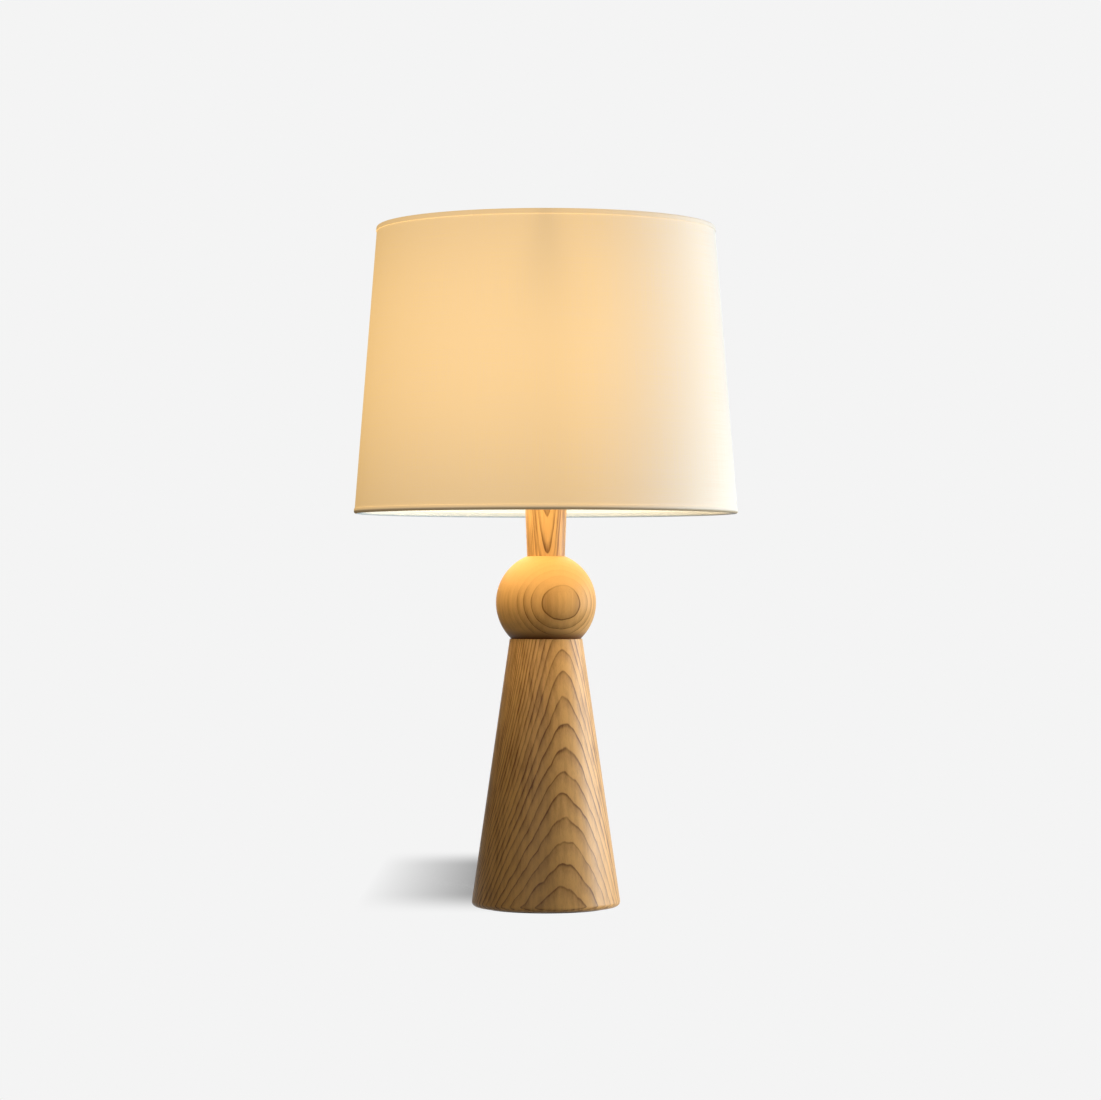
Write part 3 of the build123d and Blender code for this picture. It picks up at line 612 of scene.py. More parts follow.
ball = turned("turned_ball", outline(
    (5.3, 229.6), (15.0, 229.6, 0.6), (15.0, CONE_TOP_Z), *ball_side(),
    (10.05, NECK_FOOT_Z), (10.05, 302.23), (5.3, 302.23)), BALL_WOOD, steps=192)
set_up(ball, "stand", "wood", "base_ball")

neck = turned("turned_neck", outline(
    (5.3, 302.53), (10.0, 302.53, 0.5), (10.0, NECK_FOOT_Z), (16.7, NECK_FOOT_Z, 0.15), (18.2, 347.8),
    (19.9, NECK_TOP_Z, 0.6), (12.0, NECK_TOP_Z), (12.0, 381.03), (5.3, 381.03)), NECK_WOOD, steps=128)
set_up(neck, "stand", "wood", "neck_column")

# %% [markdown]
# Under the column a disc of pressed wool felt stands a millimetre and a half proud, so the lamp doesn't
# scratch the table. Felt has no weave: its surface is a tangle, so the finish is broken by fine noise.


# %% The felt pad
def wool_felt():
    finish, bench, sockets = finish_named("wool_felt", Roughness=1.0, Sheen_Weight=0.4, Sheen_Roughness=0.5)
    tangle = bench.noise(bench.place(), 1.6, 5.0, 0.7)
    cloud = bench.noise(bench.place(), 0.09)
    tone = tangle * 0.7 + cloud * 0.3
    bench.fill(sockets["Base Color"], bench.mix(tone, (0.035, 0.030, 0.026, 1), (0.115, 0.100, 0.085, 1)))
    raise_bump(bench, sockets, tangle, 0.35)
    return finish


felt = turned("felt_disc", outline((0, 0.05), (54, 0.0), (56.0, 0.5, 0.4), (56.0, 3.0, 0.2), (0, 2.95)),
              wool_felt(), steps=128)
set_up(felt, "stand", "felt", "felt_pad")

# %% [markdown]
# The shade is a stiff cone of linen laminated on a cream film, so light from inside comes through it. The
# cloth's pattern is a plain weave: warp and weft threads that pass over and under in turn, some thicker
# than others. It is drawn in the cloth's own UV map, which is in metres, so threads follow the cone.


# %% Woven cloth
def plain_weave():
    bench, given = shader_group("plain_weave", cloth=(0.0, 0.0, 0.0), thread=0.45)
    x, y, _ = bench.axes(bench.scaled(given["Cloth"], 1000.0 / given["Thread"]))
    warp, weft = bench.math("SINE", x * pi), bench.math("SINE", y * pi)
    height = warp * weft * 0.5 + bench.math("MAXIMUM", abs(warp), abs(weft))
    across = bench.noise(given["Cloth"], (14.0, 1900.0, 0))
    along = bench.noise(given["Cloth"], (1900.0, 14.0, 0))
    gap = bench.ramp(abs(warp) + abs(weft), 0.0, 0.7, 1.0, 0.0)
    return close_group(bench, height=height, slub=(across + along) * 0.5, gap=gap)


PLAIN_WEAVE = plain_weave()

# %% [markdown]
# The bulb's light through the cloth is painted on it as a glow. The painted glow is strongest level with
# the bulb and falls away above and below, and the three arms' shadows are painted into it, sharper towards
# the top. Where the key light strikes the right side squarely, the glow is painted weaker, as if washed
# out. The lower hoop's shadow along the edge is painted too, which leaves the dark line at the shade's foot.

# %% The glow of the shade
SHADE_Z, SHADE_TOP_Z = 348.03, 602.03
BULB_Z = 495.0
GLOW_REACH = 262.0
ARM_TURNS = (-90, 30, 150)


def shade_glow():
    bench, given = shader_group("shade_glow", place=(0.0, 0.0, 0.0))
    x, y, z = bench.axes(given["Place"])
    up = (z - BULB_Z) / GLOW_REACH
    # Painted glow: the bulb's light through the cloth, strongest level with the bulb.
    glow = bench.math("POWER", up * up + 1.0, -1.5) * 0.8 + 0.2
    spread = bench.ramp(z, 500.0, SHADE_TOP_Z, 34.0, 9.0, smooth=False)
    rising = bench.ramp(z, 470.0, SHADE_TOP_Z, 0.02, 0.12)
    # Painted shadows of the three arms, soft bands that narrow towards the top.
    for turn in map(radians, ARM_TURNS):
        side = (y * cos(turn) - x * sin(turn)) / spread
        front = x * cos(turn) + y * sin(turn)
        shadow = bench.math("EXPONENT", side * side * -1.0) * (rising * bench.ramp(front, 100.0, 140.0))
        glow = glow * (1.0 - shadow)
    # Painted weaker on the right, where the key light washes the glow out.
    painted_key_wash = bench.ramp(x, 20.0, 175.0, 1.0, 0.34)
    beside = bench.ramp(abs(y - 20.0), 20.0, 100.0, 0.2, 1.0)
    square_on = bench.math("MAXIMUM", bench.ramp(x, 0.0, 90.0, 1.0, 0.0), beside)
    return close_group(bench, glow=glow * (painted_key_wash * square_on))


SHADE_GLOW = shade_glow()

# %% [markdown]
# Two layers use that painted glow. The linen outside shows it as the warm tone of the lit cloth. The cream
# film inside glows too, with painted light, though it is no lamp. It has two strengths, and the kind of ray
# tells them apart. The camera sees its own look, which fades near the bulb's height. All other rays meet
# the light that it hands on to the wood and the fittings, which is stronger and was matched to the photo.

# %% Linen and film
BLACK = (0, 0, 0, 1)
GLOW = (0.81, 0.497, 0.170, 1)
# The share of the painted glow that is left in the foot hoop's painted shadow.
FOOT_HOOP_SHADOWED_GLOW = 0.2


def linen(name, top_hoop_shadowed_glow):
    """Linen with the bulb's light from behind painted on it as a glow. The painted glow nearly stops along
    the hoop at the foot, and dims along the one at the top, as painted shadows of the hoops.
    """
    finish, bench, sockets = finish_named(
        name, Roughness=0.85, Specular_IOR_Level=0.1, Sheen_Weight=0.05, Emission_Strength=1.0)
    place = bench.place()
    height = bench.axes(place)[2]
    weave = use_group(bench, PLAIN_WEAVE, cloth=bench.node("ShaderNodeUVMap", uv_map="cloth"))
    slub, gap = weave["Slub"], weave["Gap"]
    glow = use_group(bench, SHADE_GLOW, place=place)["Glow"]
    # Painted shadows of the foot hoop and the top hoop in the glow.
    glow = glow * bench.ramp(height, SHADE_Z + 1.4, SHADE_Z + 3.4, FOOT_HOOP_SHADOWED_GLOW, 1.0)
    glow = glow * bench.ramp(height, SHADE_TOP_Z - 5.0, SHADE_TOP_Z - 3.6, 1.0, top_hoop_shadowed_glow)
    thread = bench.ramp(slub, 0.3, 0.7, 1.05, 0.95, smooth=False) + gap * 0.10
    # The painted glow is the cloth's emission.
    bench.fill(sockets["Emission Color"], bench.mix(glow * thread, BLACK, GLOW))
    pale = bench.mix(bench.ramp(slub, 0.35, 0.65), (0.82, 0.785, 0.71, 1), (0.88, 0.85, 0.79, 1))
    # Darker between the threads, and painted shade under the fold at the very foot of the cloth.
    gaps_and_fold_shade = bench.math("MAXIMUM", gap * 0.25, bench.ramp(height, SHADE_Z + 0.9, SHADE_Z + 2.4, 0.9, 0.0))
    bench.fill(sockets["Base Color"], bench.mix(gaps_and_fold_shade, pale, (0.56, 0.46, 0.30, 1)))
    raise_bump(bench, sockets, weave["Height"], 0.06, 0.35)
    return finish


def lit_film(name, seen, cast):
    """The cream film inside, glowing with painted light. Seen is the painted glow that the camera sees, and
    cast the strength of the painted light it hands on.
    """
    finish, bench, sockets = finish_named(name, Roughness=0.55, Emission_Strength=1.0)
    place = bench.place()
    glow = use_group(bench, SHADE_GLOW, place=place)["Glow"]
    speck = bench.noise(place, 0.9, 3.0)
    bench.fill(sockets["Base Color"], bench.mix(speck, (0.42, 0.43, 0.43, 1), (0.46, 0.47, 0.47, 1)))
    # The painted glow that the camera sees fades near the bulb's height.
    evened = bench.mix(bench.ramp(abs(bench.axes(place)[2] - BULB_Z), 20.0, 150.0), BLACK, seen)
    shown = bench.mix(bench.node("ShaderNodeLightPath", out="Is Camera Ray"), cast, evened)
    bench.fill(sockets["Emission Color"], bench.mix(glow, BLACK, shown))
    raise_bump(bench, sockets, speck, 0.02, 0.4)
    return finish


SHADE_LINEN = linen("shade_linen", 0.95)
HEM_LINEN = linen("hem_linen", 0.92)
LINER_FILM = lit_film("liner_film", (0.25, 0.36, 0.43, 1), (3.75, 2.95, 1.78, 1))
# The hem's inner leg gets the film's painted glow.
LINER_HEM = lit_film("lit_hem", (0.25, 0.36, 0.41, 1), (2.3, 1.8, 1.0, 1))
print("shade finishes")

# %% [markdown]
# The wall's radius falls evenly from foot to top, so one small function places everything in the shade.
# The cloth is a thin closed shell. Its ends meet at the back, where the outer end laps over the inner one.

# %% The shade's wall
WALL_FOOT_R, WALL_SLOPE = 170.0, 20.0 / 254.0
COVER_Z, COVER_TOP_Z = 350.6, 601.0
FILM_Z, FILM_TOP_Z = 349.4, 600.7
LAP_HALF_MM, LAP_RISE_MM = 6.0, 0.3
MAP_RADIUS = 0.16


def wall(height, depth):
    """Radius of the shade's wall, a depth in from its outermost face."""
    return WALL_FOOT_R - WALL_SLOPE * (height - SHADE_Z) - depth


def skin(depth, thickness, low, high, rows=26):
    """The outline of one layer of the wall."""
    heights = [low + (high - low) * i / rows for i in range(rows + 1)]
    outer = [(wall(h, depth), h) for h in heights]
    return outer + [(wall(h, depth + thickness), h) for h in reversed(heights)]


def add_cloth_map(piece):
    """A UV map in metres: round the wall from the back seam, and up its slope."""
    mesh = piece.data
    layer = mesh.uv_layers.new(name="cloth")
    for face in mesh.polygons:
        spots = [mesh.vertices[v].co for v in face.vertices]
        turns = [atan2(-spot.x, -spot.y) for spot in spots]
        if max(turns) - min(turns) > pi:
            turns = [t + 2 * pi if t < 0 else t for t in turns]
        for corner, turn, spot in zip(face.loop_indices, turns, spots):
            layer.data[corner].uv = (turn * MAP_RADIUS, spot.z * hypot(1, WALL_SLOPE))


cover = turned("linen_cover", skin(0.6, 0.6, COVER_Z, COVER_TOP_Z), SHADE_LINEN, steps=180, smooth_deg=50)
for vertex in cover.data.vertices:
    x, y = vertex.co.x / MM, vertex.co.y / MM
    outer = hypot(x, y) > wall(vertex.co.z / MM, 0.9)
    if y > 0 and abs(x) < LAP_HALF_MM and outer:
        vertex.co.x *= 1 + LAP_RISE_MM / hypot(x, y)
        vertex.co.y *= 1 + LAP_RISE_MM / hypot(x, y)
add_cloth_map(cover)
set_up(cover, "shade", "shade_linen", "shade_fabric")

liner = turned("cream_liner", skin(1.25, 0.5, FILM_Z, FILM_TOP_Z), LINER_FILM, steps=180, smooth_deg=50)
set_up(liner, "shade", "shade_liner", "shade_liner")

# %% [markdown]
# Each edge of the wall is bound with a strip of the same linen, folded round the wall and the wire hoop
# behind it. The fold is soft, about a wire's width across. The strip's inner leg faces the bulb, so it has a
# finish of its own, in which the bulb's light on it is painted as a glow.

# %% The hems
HEM_LEG, HEM_THICK, HEM_DEPTH = 4.5, 0.5, 6.406


def hem_path(edge, inward):
    """The outline of a folded strip. Inward is 1 at the foot and -1 at the top."""
    fold, leg = edge + inward * HEM_THICK, edge + inward * HEM_LEG
    inner = HEM_DEPTH - HEM_THICK
    return outline(
        (wall(leg, 0.0), leg, 0.2), (wall(leg, HEM_THICK), leg), (wall(fold, HEM_THICK), fold, 1.6),
        (wall(fold, inner), fold, 1.6), (wall(leg, inner), leg), (wall(leg, HEM_DEPTH), leg, 0.2),
        (wall(edge, HEM_DEPTH), edge, 2.0), (wall(edge, 0.0), edge, 2.0), bits=8)


def bound_edge(name, edge, inward, node):
    strip = turned(name, hem_path(edge, inward), HEM_LINEN, LINER_HEM, steps=180, smooth_deg=50)
    # Faces on the inside take the second finish, with the bulb's light painted on them as a glow.
    for face in strip.data.polygons:
        middle = face.center
        if hypot(middle.x, middle.y) / MM < wall(middle.z / MM, HEM_DEPTH / 2):
            face.material_index = 1
    add_cloth_map(strip)
    return set_up(strip, "shade", "shade_hem", node)


foot_strip = bound_edge("foot_hem_strip", SHADE_Z, 1, "foot_hem")
top_strip = bound_edge("top_hem_strip", SHADE_TOP_Z, -1, "top_hem")

# %% [markdown]
# The frame is steel wire under a white powder coat. Powder coat melts into a skin with a faint orange
# peel, so the finish has a very small waviness in its bump and slight changes in gloss. Plastic, metal and
# porcelain are worked the same way, each with its own tones, gloss and scratches.


# %% Coated wire and plastic
def surface_wear():
    bench, given = shader_group("surface_wear", place=(0.0, 0.0, 0.0), size=1.0)
    sized = bench.scaled(given["Place"], 1.0 / given["Size"])
    scratch = bench.noise(sized, (0.25, 0.25, 9.0))
    return close_group(
        bench, peel=bench.noise(sized, 1.1), smear=bench.noise(sized, 0.12, 3.0, 0.6), scratch=scratch)


SURFACE_WEAR = surface_wear()


def worked(name, low, high, rough, size=1.0, scratch=0.2, relief=0.02, **plain):
    """A coated, moulded or metal finish. Low and high are its tones, rough its roughness from and to."""
    finish, bench, sockets = finish_named(name, **plain)
    wear = use_group(bench, SURFACE_WEAR, place=bench.place(), size=size)
    tone = wear["Smear"] * (1.0 - scratch) + wear["Scratch"] * scratch
    bench.fill(sockets["Base Color"], bench.mix(bench.ramp(tone, 0.3, 0.7), (*low, 1), (*high, 1)))
    bench.fill(sockets["Roughness"], bench.ramp(tone, 0.3, 0.7, *rough))
    raise_bump(bench, sockets, bench.mix(scratch, wear["Peel"], wear["Scratch"]), relief, 0.5)
    return finish


WHITE_COAT = worked("white_coat", (0.74, 0.72, 0.68), (0.80, 0.79, 0.75), (0.28, 0.40), scratch=0.1)
WHITE_PLASTIC = worked("white_plastic", (0.73, 0.71, 0.66), (0.79, 0.77, 0.73), (0.34, 0.48), scratch=0.15)
BRIGHT_ZINC = worked(
    "bright_zinc", (0.52, 0.53, 0.54), (0.66, 0.66, 0.65), (0.26, 0.46), scratch=0.6, Metallic=1.0)
NICKEL = worked("nickel", (0.60, 0.57, 0.52), (0.74, 0.71, 0.66), (0.20, 0.36), scratch=0.5, Metallic=1.0)
BRASS = worked("brass", (0.62, 0.42, 0.17), (0.80, 0.58, 0.26), (0.24, 0.42), scratch=0.5, Metallic=1.0)
CAST_IRON = worked("cast_iron", (0.020, 0.020, 0.021), (0.050, 0.049, 0.047), (0.62, 0.85), size=0.7,
                   scratch=0.0, relief=0.25)
PORCELAIN = worked(
    "porcelain", (0.74, 0.72, 0.67), (0.80, 0.78, 0.74), (0.12, 0.22), scratch=0.0, Coat_Weight=0.5)
BLACK_GLASS = worked("black_glass", (0.006, 0.006, 0.007), (0.012, 0.012, 0.013), (0.06, 0.14), scratch=0.0)
GREEN_BOARD = worked("driver_board", (0.03, 0.14, 0.06), (0.05, 0.20, 0.09), (0.35, 0.5), scratch=0.0)
print("coated, moulded and metal finishes")

# %% [markdown]
# A hoop of wire stiffens each edge of the wall, just inside the film and wrapped by its hem.

# %% The hoops
FOOT_HOOP_Z, TOP_HOOP_Z = 350.63, 599.43
HOOP_DEPTH, HOOP_WIRE_R = 3.806, 2.0

for name, height in (("foot_hoop", FOOT_HOOP_Z), ("top_hoop", TOP_HOOP_Z)):
    hoop = turned(name + "_wire", round_wire(wall(height, HOOP_DEPTH), HOOP_WIRE_R, height), WHITE_COAT)
    set_up(hoop, "shade", "white_wire", name)

# %% [markdown]
# Pieces that repeat are made by Geometry Nodes, so a size can be changed in one place. Each tree is built
# here with named inputs, and ends in real geometry with its material. The first one copies a shape round the
# lamp's axis, for the shade's three arms and the bulb's four filaments.


# %% Geometry Nodes: copies round the axis
def node_recipe(name, **inputs):
    """The bench of an empty Geometry Nodes tree, and its inputs. Inputs are given as name=default."""
    tree = bpy.data.node_groups.new(name, "GeometryNodeTree")
    for way in ("INPUT", "OUTPUT"):
        tree.interface.new_socket("Geometry", in_out=way, socket_type="NodeSocketGeometry")
    for word, value in inputs.items():
        kind = "NodeSocketInt" if isinstance(value, int) else "NodeSocketFloat"
        tree.interface.new_socket(label_of(word), in_out="INPUT", socket_type=kind).default_value = value
    tree.interface.new_socket("Finish", in_out="INPUT", socket_type="NodeSocketMaterial")
    bench = Bench(tree)
    return bench, bench.several("NodeGroupInput")


def end_recipe(bench, shape, given):
    real = bench.node("GeometryNodeRealizeInstances", {0: shape})
    painted = bench.node("GeometryNodeSetMaterial", {"Geometry": real, "Material": given["Finish"]})
    bench.several("NodeGroupOutput", {0: painted})
    print("tree", bench.tree.name)
    return bench.tree


def cook(start, tree, name, smooth_deg=35, **values):
    """Runs a tree on an object and keeps the result as one plain mesh."""
    step = start.modifiers.new("recipe", "NODES")
    step.node_group = tree
    for item in tree.interface.items_tree:
        key = item.name.lower().replace(" ", "_")
        if item.in_out == "INPUT" and key in values:
            step[item.identifier] = values[key]
    whole = as_built(start)
    bpy.data.objects.remove(start)
    weld(whole)
    soften(whole, smooth_deg)
    print(name, len(whole.polygons), "faces")
    return in_scene(name, whole)


def round_copies():
    bench, given = node_recipe("round_copies", count=3, first_turn=0.0)
    spots = bench.node("GeometryNodeMeshLine", {"Count": given["Count"], "Offset": (0, 0, 0)})
    turn = bench.node("GeometryNodeInputIndex") * (2 * pi) / given["Count"] + given["First Turn"]
    angle = bench.node("ShaderNodeCombineXYZ", {2: turn})
    inputs = {"Points": spots, "Instance": given["Geometry"], "Rotation": angle}
    return end_recipe(bench, bench.node("GeometryNodeInstanceOnPoints", inputs), given)


ROUND_COPIES = round_copies()

# %% [markdown]
# An arm is one wire bent twice. It starts flat on the fitter ring, rises in a long slant, and ends flat
# against the top hoop, where it is welded. Its route is drawn by its corners, and a second tree rounds
# them with Fillet Curve and gives the wire its thickness with Curve to Mesh.


# %% Geometry Nodes: a bent wire
def bent_wire():
    bench, given = node_recipe("bent_wire", bend=0.008, radius=0.002)
    inputs = {"Curve": given["Geometry"], "Radius": given["Bend"], "Count": 10, "Limit Radius": True}
    bend = bench.node("GeometryNodeFilletCurve", inputs, mode="POLY")
    section = bench.node("GeometryNodeCurvePrimitiveCircle", {"Resolution": 16, "Radius": given["Radius"]})
    inputs = {"Curve": bend, "Profile Curve": section, "Fill Caps": True}
    return end_recipe(bench, bench.node("GeometryNodeCurveToMesh", inputs), given)


BENT_WIRE = bent_wire()


def drawn_line(name, corners):
    """A curve object through corners given in millimetres."""
    data = bpy.data.curves.new(name, "CURVE")
    data.dimensions = "3D"
    run = data.splines.new("POLY")
    run.points.add(len(corners) - 1)
    for point, corner in zip(run.points, corners):
        point.co = (*(c * MM for c in corner), 1)
    return in_scene(name, data)


ARM_FOOT_Z, ARM_WIRE_R = 417.78, 1.75
hoop_r = wall(TOP_HOOP_Z, HOOP_DEPTH)
route = drawn_line("arm_route", [
    (27.5, 0, ARM_FOOT_Z), (38.0, 0, ARM_FOOT_Z), (hoop_r - 11.0, 0, TOP_HOOP_Z), (hoop_r - 1.6, 0, TOP_HOOP_Z)])
arm = cook(route, BENT_WIRE, "one_arm", bend=0.008, radius=ARM_WIRE_R * MM, finish=WHITE_COAT)
first_arm = radians(ARM_TURNS[0])
arms = cook(arm, ROUND_COPIES, "shade_arm_wires", count=3, first_turn=first_arm, finish=WHITE_COAT)
set_up(arms, "shade", "white_wire", "shade_arms")

# %% [markdown]
# The lampholder is moulded: a cap that stands on the neck, a skirt that screws into it, and a threaded
# ring that clamps the shade's fitter. A thread is a ridge that climbs evenly as it goes round, so a third
# tree lifts a plain turned wall along its radius by a wave of height and angle.


# %% Geometry Nodes: a rolled thread
def round_place(bench):
    """Where a point is: its place on the flat, its distance from the axis, its turn and its height."""
    where = bench.node("GeometryNodeInputPosition")
    flat = bench.vector("MULTIPLY", where, (1, 1, 0))
    x, y, z = bench.axes(where)
    return flat, bench.vector("LENGTH", flat, out="Value"), bench.math("ARCTAN2", y, x), z


def end_pushed(bench, flat, push, given):
    """Moves each point outwards by push, and ends the tree."""
    offset = bench.scaled(bench.vector("NORMALIZE", flat), push)
    moved = bench.node("GeometryNodeSetPosition", {"Geometry": given["Geometry"], "Offset": offset})
    return end_recipe(bench, moved, given)


def rolled_thread(run_out=0.001):
    bench, given = node_recipe("rolled_thread", pitch=0.0025, depth=0.0005, low=0.0, high=1.0, inner=0.0)
    flat, reach, turn, height = round_place(bench)
    wave = (bench.math("COSINE", height * (2 * pi) / given["Pitch"] - turn) - 1.0) * 0.5
    start = bench.ramp(height, given["Low"], given["Low"] + run_out)
    end = bench.ramp(height, given["High"] - run_out, given["High"], 1.0, 0.0)
    outer = bench.math("GREATER_THAN", reach, given["Inner"])
    return end_pushed(bench, flat, wave * given["Depth"] * (start * end) * outer, given)


ROLLED_THREAD = rolled_thread()

# %% [markdown]
# Close rows of points up the wall give the thread something to move. An outline that runs on into such a
# wall is cut off before its last corner, which is only there to steer the rounding of the one before it.

# %% The lampholder
HOLDER_Z, SHOULDER_Z, FITTER_Z, SKIRT_TOP_Z = 390.03, 411.03, 414.53, 447.03


def steps_up(radius, low, high, gap):
    """A straight wall as many close points."""
    count = max(1, round(abs(high - low) / gap))
    return [(radius, low + (high - low) * i / count) for i in range(count + 1)]


cap = turned("holder_cap_shell", outline(
    (5.05, HOLDER_Z), (16.5, HOLDER_Z, 1.5), (19.5, HOLDER_Z + 3.0, 1.2), (19.5, SHOULDER_Z, 0.4),
    (17.4, SHOULDER_Z), (17.4, 398.03), (5.05, 398.03)), WHITE_PLASTIC, steps=96)
set_up(cap, "stand", "white_plastic", "holder_cap")

shoulder = outline((23.5, SHOULDER_Z, 0.5), (23.5, FITTER_Z, 0.5), (19.9, FITTER_Z))[:-1]
skirt = turned("holder_skirt_wall", [
    (15.8, 405.03), (17.3, 405.03), (17.3, SHOULDER_Z), *shoulder,
    *steps_up(19.8, FITTER_Z, SKIRT_TOP_Z - 0.8, 0.32), (19.0, SKIRT_TOP_Z),
    (14.2, SKIRT_TOP_Z), (14.2, 445.03), (15.8, 445.03)], WHITE_PLASTIC, steps=96)
skirt = cook(skirt, ROLLED_THREAD, "holder_skirt_thread", smooth_deg=50, pitch=0.0025, depth=0.0009,
             low=(FITTER_Z + 1.2) * MM, high=(SKIRT_TOP_Z - 1.0) * MM, inner=18.5 * MM, finish=WHITE_PLASTIC)
set_up(skirt, "stand", "white_plastic", "holder_skirt")

# %% [markdown]
# The shade ring is turned by fingertips, so its rim has 24 shallow flutes. A fourth tree presses them in:
# it moves the rim inwards wherever a cosine of the angle is high.


# %% Geometry Nodes: finger flutes
def finger_flutes(rim_width=0.0014):
    bench, given = node_recipe("finger_flutes", count=24, depth=0.001, rim=0.025)
    flat, reach, turn, _ = round_place(bench)
    hollow = bench.ramp(bench.math("COSINE", turn * given["Count"]), 0.1, 1.0)
    rim = bench.ramp(reach, given["Rim"] - rim_width, given["Rim"])
    return end_pushed(bench, flat, hollow * rim * (given["Depth"] * -1.0), given)


FINGER_FLUTES = finger_flutes()
RING_Z, RING_TOP_Z = 416.83, 424.83
ring_blank = turned("ring_blank", outline(
    (19.87, RING_Z, 0.25), (25.0, RING_Z, 0.3), (25.0, RING_TOP_Z, 0.8), (19.87, RING_TOP_Z, 0.4), bits=5),
    WHITE_PLASTIC, steps=240)
ring = cook(
    ring_blank, FINGER_FLUTES, "shade_ring_fluted", count=24, depth=0.0011, rim=0.025, finish=WHITE_PLASTIC)
set_up(ring, "ring", "white_plastic", "shade_ring")

# %% [markdown]
# The bulb is a clear globe of 60 mm on a 27 mm screw cap. The glass is a thin closed wall. Light passes it
# freely in the real lamp, so it throws no shadow here, and the picture stays clean. From the globe to the
# neck the wall runs in one soft double curve, which leaves both ends in their own direction.

# %% The bulb's glass
TIP_Z = 418.03
CAP_TOP_Z, CAP_THREAD_Z = 444.53, 424.53
GLASS_R, GLASS_NECK_R, GLASS_FOOT_Z = 30.0, 12.7, 439.6
GLOBE_END = radians(-35)


def clear_glass():
    finish, bench, sockets = finish_named("clear_glass", IOR=1.45, Transmission_Weight=1.0)
    haze = bench.noise(bench.place(), 0.15, 3.0)
    bench.fill(sockets["Base Color"], bench.mix(haze, (0.97, 0.96, 0.94, 1), (1.0, 1.0, 1.0, 1)))
    bench.fill(sockets["Roughness"], bench.ramp(haze, 0.3, 0.7, 0.0, 0.03))
    return finish


def glass_side(depth, globe_bits=40, neck_bits=12):
    """The globe and its neck, from the crown down, a depth in from the outer face."""
    globe, neck_r = GLASS_R - depth, GLASS_NECK_R - depth
    arc = [pi / 2 + (GLOBE_END - pi / 2) * i / globe_bits for i in range(globe_bits + 1)]
    path = [(globe * cos(a), BULB_Z + globe * sin(a)) for a in arc]
    (r0, z0), (r1, z1) = path[-1], (neck_r, TIP_Z + 29.0)
    span = hypot(r1 - r0, z1 - z0)
    for i in range(1, neck_bits + 1):
        t = i / neck_bits
        ease = (2 * t**3 - 3 * t**2 + 1, t**3 - 2 * t**2 + t, -2 * t**3 + 3 * t**2, t**3 - t**2)
        radius = ease[0] * r0 + ease[1] * span * sin(GLOBE_END) + ease[2] * r1
        height = ease[0] * z0 - ease[1] * span * cos(GLOBE_END) + ease[2] * z1 - ease[3] * span
        path.append((radius, height))
    return path + [(neck_r, GLASS_FOOT_Z)]


glass_path = glass_side(0.0) + list(reversed(glass_side(0.8)))
glass_path[0], glass_path[-1] = (0, glass_path[0][1]), (0, glass_path[-1][1])
glass = turned("bulb_globe", glass_path, clear_glass(), steps=96, smooth_deg=60)
glass.visible_shadow = False
set_up(glass, "bulb", "bulb_glass", "bulb_glass")

# %% [markdown]
# The screw cap is rolled from thin nickel-plated sheet, with the same tree as the holder's thread and the
# coarser pitch of a 27 mm screw.

# %% The screw cap
tip = outline((8.0, 421.23, 0.2), (12.4, 423.23, 0.6), (13.2, CAP_THREAD_Z))[:-1]
cap_path = [(7.6, 421.23), *tip, *steps_up(13.2, CAP_THREAD_Z + 0.3, CAP_TOP_Z - 0.2, 0.35),
            (13.0, CAP_TOP_Z), (12.8, CAP_TOP_Z), (12.8, 425.0), (11.9, 423.6), (7.6, 421.63)]
bulb_screw = turned("screw_blank", cap_path, NICKEL, steps=96)
bulb_screw = cook(bulb_screw, ROLLED_THREAD, "bulb_screw_cap", smooth_deg=50, pitch=0.003629, depth=0.00035,
                  low=CAP_THREAD_Z * MM, high=(CAP_TOP_Z - 1.5) * MM, inner=13.0 * MM, finish=NICKEL)
set_up(bulb_screw, "bulb", "cap_metal", "bulb_cap")

# %% [markdown]
# Four filaments stand round a glass stem. Each is a strip of tiny light-emitting chips under a coat of
# yellow phosphor, so it glows along its length and shows a row of faint beads.

# %% The filaments
CHIP_GAP_MM = 1.4


def phosphor():
    finish, bench, sockets = finish_named("phosphor", Roughness=0.5, Emission_Strength=6.0)
    height = bench.axes(bench.place())[2]
    bead = abs(bench.math("SINE", height * (pi / CHIP_GAP_MM)))
    lit = bench.ramp(height, 462.6, 464.2) * bench.ramp(height, 495.8, 497.4, 1.0, 0.0)
    colour = bench.mix(bead, (1.0, 0.50, 0.13, 1), (1.0, 0.74, 0.36, 1))
    bench.fill(sockets["Emission Color"], bench.mix(lit, (0.02, 0.014, 0.006, 1), colour))
    bench.fill(sockets["Base Color"], bench.mix(bead, (0.72, 0.50, 0.12, 1), (0.85, 0.66, 0.25, 1)))
    raise_bump(bench, sockets, bead, 0.1, 0.5)
    return finish


PHOSPHOR = phosphor()
strip = drawn_line("filament_route", [(7.0 + 4.5 * t, 0, 462.0 + 36.0 * t) for t in (0, 0.25, 0.5, 0.75, 1)])
strip = cook(strip, BENT_WIRE, "one_filament", bend=0.0, radius=0.0011, finish=PHOSPHOR)
filaments = cook(strip, ROUND_COPIES, "glow_filaments", count=4, first_turn=radians(45), finish=PHOSPHOR)
set_up(filaments, "bulb", "filament", "led_filaments")

light = bpy.data.lights.new("bulb_light", "POINT")
light.energy, light.shadow_soft_size, light.color = 0.5, 0.028, (1.0, 0.79, 0.48)
bulb_light = in_scene("bulb_light", light)
bulb_light.location = (0, 0, BULB_Z * MM)
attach(bulb_light, "bulb")

# %% [markdown]
# The cord's bushing is a small flanged tube of white plastic, turned like the rest and then laid on its
# side, with its mesh moved rather than its object.

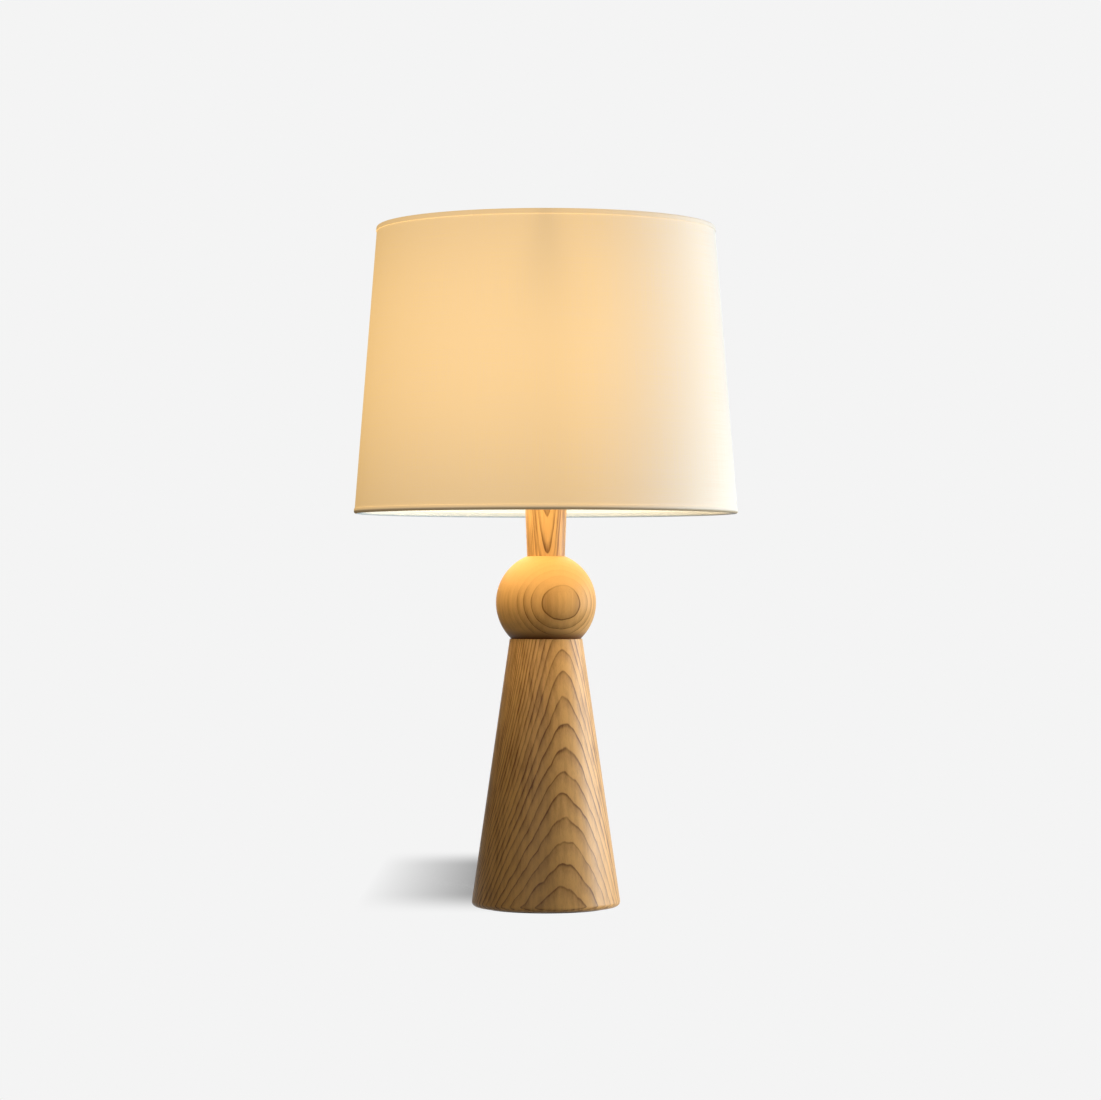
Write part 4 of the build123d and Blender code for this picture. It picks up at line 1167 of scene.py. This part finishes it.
# %% The cord bushing
bushing = turned("inlet_bushing", outline(
    (3.6, 46.0, 0.3), (5.0, 46.0, 0.3), (5.0, 62.5), (7.0, 62.5, 0.1), (7.0, 64.496, 0.8), (3.6, 64.496, 0.5)),
    WHITE_PLASTIC, steps=64)
bushing.data.transform(Matrix.Translation((0, 0, INLET_Z * MM)) @ Matrix.Rotation(radians(-90), 4, "X"))
set_up(bushing, "stand", "white_plastic", "cord_bushing")

# %% [markdown]
# The small parts inside keep their CAD shapes, which are right as they are. Each only needs the finish
# of what it is made of, so its material slots are filled again.

# %% Finishes for the CAD parts that stay
STAYING = {
    CAST_IRON: ("ballast_plate",),
    BRIGHT_ZINC: (
        "tie_rod", "bottom_washer", "lock_washer", "bottom_nut", "neck_washer", "neck_nut", "grub_screw"),
    PORCELAIN: ("holder_insert",),
    BRASS: ("terminal_screws", "centre_contact", "side_contact", "screw_shell"),
    WHITE_PLASTIC: ("slip_washer",),
    WHITE_COAT: ("fitter_ring",),
    LINER_FILM: ("seam_strip",),
    NICKEL: ("bulb_contact", "filament_wires"),
    BLACK_GLASS: ("bulb_insulator",),
    clear_glass(): ("bulb_stem",),
    GREEN_BOARD: ("bulb_driver",),
}
for finish, names in STAYING.items():
    for name in names:
        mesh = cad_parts[name].data
        for k in range(len(mesh.materials)):
            mesh.materials[k] = finish
        if not mesh.materials:
            mesh.materials.append(finish)
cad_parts["bulb_stem"].visible_shadow = False
print(sum(map(len, STAYING.values())), "CAD parts finished")

# %% [markdown]
# The size the cloth was cut to is worked out here. A cone opens out flat into a sector of a ring, so the
# linen's blank is that sector, and its area follows from the cone's slope and its two radii.


# %% The cloth and its cut
def cut_to(low, high, depth):
    """The area of a layer's blank in square metres. Depth is the middle of the layer."""
    slope_side = hypot(1, WALL_SLOPE) * (high - low) * MM
    return pi * (wall(low, depth) + wall(high, depth)) * MM * slope_side


cut_area = cut_to(COVER_Z, COVER_TOP_Z, 0.9)
film_area = cut_to(FILM_Z, FILM_TOP_Z, 1.5)
print("linen cut", round(cut_area, 4), "and film cut", round(film_area, 4), "square metres")
